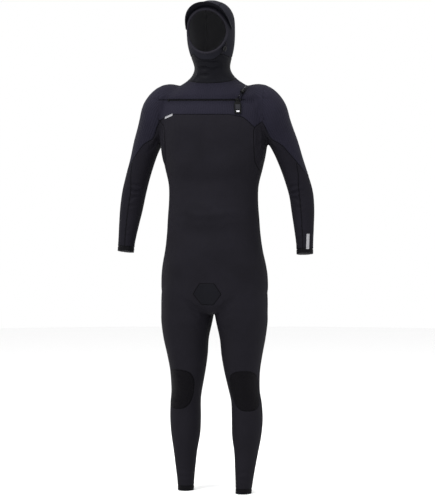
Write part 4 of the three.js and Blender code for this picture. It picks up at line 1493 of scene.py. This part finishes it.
print("trim rides on bodies such as", body_of["zip_chain"])


# %% A place on the suit
def on_skin(x, z, stand=0.0):
    """The place on the suit's front at x and z, standing off it, and the way the cloth faces there."""
    hit, n, _, _ = skin_tree.ray_cast(Vector((x * MM, -0.5, z * MM)), Vector((0, 1.0, 0)))
    return np.array(hit) / MM + np.array(n) * stand, np.array(n)


print("the chest at the zip is at", on_skin(0, ZIP_HEIGHT)[0].round(1))

# %% [markdown]
# ## Face binding
# The edge of the face opening is wrapped in a folded strip, which shows as a soft round bead. It follows
# the cut edge of the hood's own panels, evened out and smoothed, so it can't stand off them.

# %% Binding
BEAD = 4.4


def face_edge(count=96):
    """The bound edge's middle line, evened out round the opening."""
    edge = np.flatnonzero((np.abs(face(rest)) < 0.25) & (rest[:, 1] < -60) & (rest[:, 2] > CHIN))
    middle = placed[edge] - normal[edge] * WALL / 2
    turn = np.arctan2(rest[edge, 2] - FACE[0], rest[edge, 0])
    order = np.argsort(turn)
    even = np.linspace(-math.pi, math.pi, count, endpoint=False)
    path = np.stack([np.interp(even, turn[order], k[order], period=2 * math.pi) for k in middle.T], 1)
    for _ in range(4):
        path = (np.roll(path, 1, 0) + 2 * path + np.roll(path, -1, 0)) / 4
    return path


binding = finished(tube("face_edge_binding", face_edge(), BEAD, 14, True), BINDING)
place_on(binding, "hood", "face_binding")
print("binding has", len(binding.data.vertices), "points")

# %% [markdown]
# ## Brim
# The short brim is a curved sheet of smooth foam, glued over the top of the opening and flipping up or
# down. Its section is a thin wedge of six points, placed round the opening and rounded by a subdivision
# surface. It reaches furthest in the middle and fades out at the temples.

# %% Brim
BRIM_REACH = 31
BRIM_LIFT = 14


def brim_section(t):
    """The six points of the brim's section at one angle round the face opening."""
    z, half, tall = FACE
    reach = 3 + BRIM_REACH * math.sin(t) ** 0.7
    lift = BRIM_LIFT * math.sin(t) ** 1.5
    root, _ = on_skin((half + 8) * math.cos(t), z + (tall + 8) * math.sin(t), 0.2)
    out = np.array([math.cos(t), 0, math.sin(t)])
    top = root + out * 2.0
    low = root - out * 2.6
    tip = root + np.array([0, -reach, lift]) + out * 6 * math.sin(2 * t) ** 2
    mid_top = (top + tip) / 2 + out * 1.8
    mid_low = (low + tip) / 2 + out * 0.4
    tip_low = tip - out * 1.6 + (0, -0.4, 0)
    return [low + (0, 2.5, 0), top + (0, 2.5, 0), mid_top, tip + out * 1.6, tip_low, mid_low]


rings = np.array([brim_section(t) for t in np.radians(np.linspace(4, 176, 49))])
brim = finished(mesh_object("brim", *loft(rings[::-1])), SMOOTH_SKIN, sub=2)
# The brim carries the same measures as the panels: it is far from any seam, and has no ribs.
for key, value in (("edge", 20.0), ("rib", 0.0)):
    layer = brim.data.attributes.new(key, "FLOAT", "POINT")
    layer.data.foreach_set("value", np.full(len(brim.data.vertices), value, np.float32))
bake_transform(brim)
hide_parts("visor_brim")
print("brim has", len(brim.data.vertices), "points")

# %% [markdown]
# ## The chest zip
# Two rows of nylon coils meet on an arc across the chest, on a woven tape behind them. The slider runs on
# the arc. An array modifier along a curve could repeat the teeth, but they are few, so code sets each on
# the arc.


# %% The arc
def arc_point(turn, out, up):
    """A point on the zip's arc, out from it and up."""
    r = ZIP_RADIUS + out
    return (zip_axis[0] + r * math.sin(turn), zip_axis[1] - r * math.cos(turn), ZIP_HEIGHT + up)


def arc_axes(turn):
    """Along the arc, out from it, and up."""
    return [(math.cos(turn), math.sin(turn), 0), (math.sin(turn), -math.cos(turn), 0), (0, 0, 1)]


zip_from = math.asin(ZIP_X[0] / ZIP_RADIUS)
zip_to = math.asin(ZIP_X[1] / ZIP_RADIUS)
print("the zip runs", round((zip_to - zip_from) * ZIP_RADIUS), "mm along its arc")

# %% Tape
TAPE_SECTION = [(-3.4, -9), (-3.4, 9), (-2.2, 9), (-2.2, -9)]
turns = np.linspace(zip_from - 0.02, zip_to + 0.015, 60)
rings = np.array([[arc_point(t, out, up) for out, up in TAPE_SECTION] for t in turns])
tape = finished(mesh_object("zip_cloth_tape", *loft(rings)), HEM_TAPE, bevel=0.3)
place_on(tape, "torso", "zip_tape")
print("tape", TAPE_SECTION[1][1] - TAPE_SECTION[0][1], "mm wide")

# %% Teeth
TOOTH_PITCH = 2.2
TOOTH_HALF = (0.75, 0.9, 1.9)
CORNERS = np.array([(x, y, z) for x in (-1, 1) for y in (-1, 1) for z in (-1, 1)], float)
SIDES = [(0, 1, 3, 2), (4, 6, 7, 5), (0, 4, 5, 1), (2, 3, 7, 6), (0, 2, 6, 4), (1, 5, 7, 3)]


def teeth():
    """Short coils, set above and below the middle in turn."""
    verts = []
    faces = []
    turns = np.arange(zip_from + 0.01, zip_to - 0.015, TOOTH_PITCH / ZIP_RADIUS)
    for k, t in enumerate(turns):
        at = np.array(arc_point(t, -1.0, 1.1 if k % 2 else -1.1))
        verts.append(at + CORNERS * TOOTH_HALF @ np.array(arc_axes(t)))
        faces += [tuple(8 * k + i for i in q) for q in SIDES]
    return finished(mesh_object("zip_teeth", np.vstack(verts), faces), COIL_NYLON, bevel=0.25)


chain = teeth()
place_on(chain, "torso", "zip_chain")
print(len(turns), "steps of tape, a tooth every", TOOTH_PITCH, "mm")


# %% Blocks, and pieces made of several
def block(name, middle, axes, half, bevel):
    """A rounded block of acetal, part of a larger piece."""
    verts = CORNERS * half @ np.array(axes) + np.array(middle)
    return finished(mesh_object(name, verts, SIDES), ACETAL, bevel=bevel)


def joined(name, objs):
    """One piece from several."""
    bpy.ops.object.select_all(action="DESELECT")
    for obj in objs:
        obj.select_set(True)
    bpy.context.view_layer.objects.active = objs[0]
    bpy.ops.object.join()
    objs[0].name = name
    return objs[0]


for side, turn in (("right", zip_from + 0.008), ("left", zip_to - 0.008)):
    stop = block("zip_end_" + side, arc_point(turn, 0.2, 0), arc_axes(turn), (2.6, 1.6, 5.0), 0.8)
    place_on(stop, "torso", "zip_stop_" + side)
print("the chain ends in two stops")

# %% [markdown]
# The slider is a flat shoe with a narrower nose, and a wire loop that the pull tab swings on. It is built
# round the tab's own pivot, so that it can't drift from it.

# %% Slider
pivot = np.array(joint["pull_tab_swing"]["pos_m"]) / MM
slide_turn = math.atan2(pivot[0] - zip_axis[0], -(pivot[1] - zip_axis[1]))
_, outward, up = (np.array(a) for a in arc_axes(slide_turn))
shoe = block("slider_body", arc_point(slide_turn, 1.9, 0), arc_axes(slide_turn), (6.4, 1.7, 5.2), 1.4)
nose_at = arc_point(slide_turn - 0.012, 2.2, 0)
nose = block("slider_nose", nose_at, arc_axes(slide_turn), (3.4, 1.9, 3.4), 1.2)
t = np.linspace(0, 2 * math.pi, 28, endpoint=False)
ring = pivot + np.outer(3.0 * np.cos(t), outward) + np.outer(3.0 * np.sin(t), up)
loop = finished(tube("slider_loop", ring, 0.9, 10, True), ACETAL)
slider = joined("slider", [shoe, nose, loop])
place_on(slider, "zip_slider", "zip_slider")
print("slider at", np.round(pivot, 1))

# %% [markdown]
# The pull tab is a rubber plate with a waist at its loop, a sunk inlay and a pale end. Its size and slant
# are read from its solid, which was made for the joint.

# %% Size and slant of the tab
tab_axis = -np.array(joint["pull_tab_swing"]["axis"])
tab_points = points_mm(frame["nodes"]["zip_pull_tab"].data)
tab_end_points = tab_points[tab_points[:, 2] < tab_points[:, 2].min() + 4]
down = tab_end_points.mean(0) - pivot
down -= tab_axis * (down @ tab_axis)
down /= np.linalg.norm(down)
tab_long = np.max((tab_points - pivot) @ down)
tab_half = np.max((tab_points - pivot) @ tab_axis)
tab_out = np.cross(tab_axis, -down)
if tab_out[1] > 0:
    tab_out = -tab_out
print("tab", round(tab_long, 1), "by", round(2 * tab_half, 1), "mm")


# %% Pull tab
def plate(name, outline, thick, lift, material, bevel):
    """A plate on the tab: its outline is across and down from the pivot."""
    rings = []
    for k in (-thick / 2, thick / 2):
        rings.append([pivot + tab_axis * a + tab_out * (lift + k) - down * b for a, b in outline])
    return finished(mesh_object(name, *loft(np.array(rings))), material, bevel=bevel)


w = tab_half
d = tab_long
half_body = [(3, 1.2), (5, -5), (w, -11), (w, 3 - d), (w - 3, -d)]
body = [(-3, 1.2)] + half_body + [(-a, b) for a, b in half_body[:0:-1]]
inlay = [(4 - w, -16), (w - 4, -16), (w - 4, 15 - d), (4 - w, 15 - d)]
pale_end = [(6 - w, 11 - d), (w - 6, 11 - d), (w - 7.5, 6 - d), (7.5 - w, 6 - d)]
tab = [
    plate("tab_body", body, 2.4, 0, TAB_RUBBER, 0.7),
    plate("tab_inlay", inlay, 1.0, 1.0, TAB_INLAY, 0.4),
    plate("tab_end", pale_end, 1.0, 1.05, TAB_END, 0.3),
]
pull_tab = joined("pull_tab", tab)
place_on(pull_tab, "zip_pull_tab", "zip_pull_tab")
print("tab has", len(pull_tab.data.vertices), "points")

# %% [markdown]
# ## Cord locks
# A cord lock is a turned barrel with grip rings and a sprung button in its end: pressed, it lets go of
# the cord. Its outline is drawn once, as on a lathe, and spun about the way that it slides. The cords are
# sewn down at both ends.

# %% Turned outlines: radius, height
RING_FOOT = 6.0
RING_TOP = 6.5
GRIP_RINGS = [(2.4, 3.2, 4.0), (5.6, 6.4, 7.2), (8.8, 9.6, 10.4)]
BARREL = [(2.2, 0), (5.0, 0), (6.2, 1.0)]
for first, foot, second in GRIP_RINGS:
    BARREL += [(RING_TOP, first), (RING_FOOT, foot), (RING_TOP, second)]
BARREL += [(6.4, 11.4), (5.8, 12.0), (4.6, 12.0), (4.5, 9)]
BUTTON = [(2.2, 6.8), (4.3, 6.8), (4.4, 15.4), (4.1, 16.4), (3.2, 17.0), (2.2, 17.0)]


def turned(name, at, way, profile, sides=28):
    """A turned piece of acetal that stands on a point, along a way."""
    way = np.array(way, float)
    way /= np.linalg.norm(way)
    a = np.cross(way, (0, 0, 1.0))
    a /= np.linalg.norm(a)
    b = np.cross(way, a)
    t = np.linspace(0, 2 * math.pi, sides, endpoint=False)
    rings = [at + way * up + r * (np.outer(np.cos(t), a) + np.outer(np.sin(t), b)) for r, up in profile]
    return finished(mesh_object(name, *loft(np.array(rings))), ACETAL)


print(len(GRIP_RINGS), "grip rings, outline of", len(BARREL), "points")

# %% Locks and their cords
CORD_RADIUS = 1.6


def near_skin(point):
    """The nearest place on the suit."""
    return np.array(skin_tree.find_nearest(Vector(point * MM))[0]) / MM


def cord_route(first, last, way):
    """From under the cloth at one end, up through the lock, and down under the cloth at the other."""
    a = near_skin(first)
    b = near_skin(last)
    rise = [a - way * 2 + (first - a) * 0.05, (a + first) / 2 + way * 1.5, first + way * 5]
    fall = [last - way * 5, (b + last) / 2 - way * 1.5, b + way * 2]
    return through(rise + [(first + last) / 2] + fall, 60)


for place, body, finish in (("collar", "torso", FLECKED_CORD), ("hood", "hood", PLAIN_CORD)):
    way = np.array(joint[place + "_lock_slide"]["axis"], float)
    barrel_points = points_mm(frame["nodes"][place + "_barrel"].data)
    start = barrel_points.mean(0)
    low = (barrel_points @ way).min()
    base = start - way * (start @ way) + way * low
    place_on(turned(place + "_lock_body", base, way, BARREL), place + "_cord_lock", place + "_barrel")
    place_on(turned(place + "_lock_push", base, way, BUTTON), place + "_lock_button", place + "_button")
    along = points_mm(frame["nodes"][place + "_cord"].data) @ way
    first = base + way * (along.min() - low)
    last = base + way * (along.max() - low)
    route = cord_route(first, last, way)
    place_on(finished(tube(place + "_elastic", route, CORD_RADIUS), finish), body, place + "_cord")
    print(place, "cord", round(float(np.linalg.norm(np.diff(route, axis=0), axis=1).sum())), "mm long")

# %% [markdown]
# ## Blank tag and stripe
# Where a maker would print a mark there are two plain patches of pale rubber print, on the chest and on
# the left forearm. A patch could be a decal in the material. It is a thin sheet laid on the cloth,
# because a real print of this kind stands proud by half a millimetre.


# %% A patch laid on the cloth
def patch(name, corners, stand, steps=(9, 5)):
    """A thin patch laid on the skin inside four corners, given as x and z."""
    c = np.array(corners, float)
    top = []
    low = []
    nu, nv = steps
    for i in range(nu):
        for j in range(nv):
            u = i / (nu - 1)
            v = j / (nv - 1)
            x, z = (1 - u) * (1 - v) * c[0] + u * (1 - v) * c[1] + u * v * c[2] + (1 - u) * v * c[3]
            p, n = on_skin(x, z, stand)
            top.append(p)
            low.append(p - n * (stand + 0.4))
    k = nu * nv
    cells = [(i * nv + j, (i + 1) * nv + j) for i in range(nu - 1) for j in range(nv - 1)]
    faces = [(a, b, b + 1, a + 1) for a, b in cells]
    faces += [tuple(a + k for a in reversed(f)) for f in faces]
    ring = [i * nv for i in range(nu)]
    ring += [(nu - 1) * nv + j for j in range(1, nv)]
    ring += [i * nv + nv - 1 for i in range(nu - 2, -1, -1)]
    ring += [j for j in range(nv - 2, 0, -1)]
    for a, b in zip(ring, ring[1:] + ring[:1]):
        faces.append((a, b, b + k, a + k))
    return finished(mesh_object(name, top + low, faces), PALE_PRINT, bevel=0.25)


print("patches ready")

# %% Tag and stripe
PROUD = 0.8
tag = patch("chest_tag", [(-158, 672), (-126, 684), (-126, 691), (-158, 680)], PROUD)
place_on(tag, "torso", "chest_badge")
low, high = (np.array(corner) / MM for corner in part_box("left_sleeve_mark"))
left, right = low[0] + 6, high[0] + 4
corners = [(left, low[2]), (right, low[2]), (right, high[2]), (left, high[2])]
stripe = patch("sleeve_patch", corners, PROUD, (5, 15))
place_on(stripe, "left_forearm", "left_sleeve_mark")
print("stripe", round(high[2] - low[2]), "mm long")

# %% [markdown]
# ## Camera, floor and light
# A long lens from 9 m away keeps the suit's proportions true, from slightly to its left and a little
# above. The floor is a pale disc that doesn't hide the suit from any side.

# %% Camera
AZIMUTH = math.radians(13)
ELEVATION = math.radians(3)
DISTANCE = 9.0
# The height of the view at the suit, in metres.
VIEW_TALL = 1.727
sideways = Vector((math.cos(AZIMUTH), math.sin(AZIMUTH), 0))
aim = sideways * 0.012 + Vector((0, 0, 0.2245))
level = Vector((math.sin(AZIMUTH), -math.cos(AZIMUTH), 0))
eye = aim + (level * math.cos(ELEVATION) + Vector((0, 0, math.sin(ELEVATION)))) * DISTANCE
camera = bpy.data.objects.new("camera", bpy.data.cameras.new("camera"))
bpy.context.scene.collection.objects.link(camera)
camera.location = eye
camera.rotation_euler = (aim - eye).to_track_quat("-Z", "Y").to_euler()
camera.data.lens = camera.data.sensor_width * DISTANCE / VIEW_TALL
bpy.context.scene.camera = camera
print("lens", round(camera.data.lens), "mm")

# %% Floor
FLOOR_RADIUS = 7000
FLOOR_UNDER = 1.5
t = np.linspace(0, 2 * math.pi, 96, endpoint=False)
disc = [(FLOOR_RADIUS * math.cos(a), FLOOR_RADIUS * math.sin(a), -INSEAM - FLOOR_UNDER) for a in t]
floor = mesh_object("floor", disc, [tuple(range(len(disc)))])
paint, tree = new_material("pale_floor_paint")
fill(tree, tree.nodes["Principled BSDF"], {"Base Color": linear("#f2f2f2"), "Roughness": 0.9})
floor.data.materials.append(paint)
print("floor", FLOOR_UNDER, "mm under the hems")

# %% [markdown]
# A dark suit on white needs a broad key light from the front left, a weak fill, a light from above to
# draw the shoulders, and two weak ones behind that lift the edges. All are large, so the shadows are
# soft.


# %% Lamps
def lamp(name, place, size, power, target=(0, 0, 0.3)):
    """A rectangular area light that faces a target."""
    light = bpy.data.lights.new(name, "AREA")
    light.shape = "RECTANGLE"
    light.size = size[0]
    light.size_y = size[1]
    light.energy = power
    obj = bpy.data.objects.new(name, light)
    obj.location = place
    obj.rotation_euler = (Vector(target) - Vector(place)).to_track_quat("-Z", "Y").to_euler()
    bpy.context.scene.collection.objects.link(obj)


lamp("key", (-1.6, -2.4, 2.5), (1.2, 1.4), 95, (0, 0, 0.6))
lamp("fill", (2.6, -2.2, 1.4), (1.2, 2.0), 24)
lamp("top", (0.0, -0.6, 2.9), (2.0, 1.6), 80, (0, 0, 0.8))
lamp("edge_left", (-2.4, 0.9, 0.9), (0.8, 2.2), 20)
lamp("edge_right", (2.5, 1.0, 0.9), (0.8, 2.2), 20)
print(len(bpy.data.lights), "lamps")

# %% Studio surroundings
world = bpy.data.worlds.new("studio")
world.use_nodes = True
sky = {"Color": linear("#ffffff"), "Strength": 1.0}
fill(world.node_tree, world.node_tree.nodes["Background"], sky)
bpy.context.scene.world = world
bpy.context.scene.view_settings.view_transform = "Standard"
bpy.context.scene.view_settings.look = "None"
print("white surroundings")
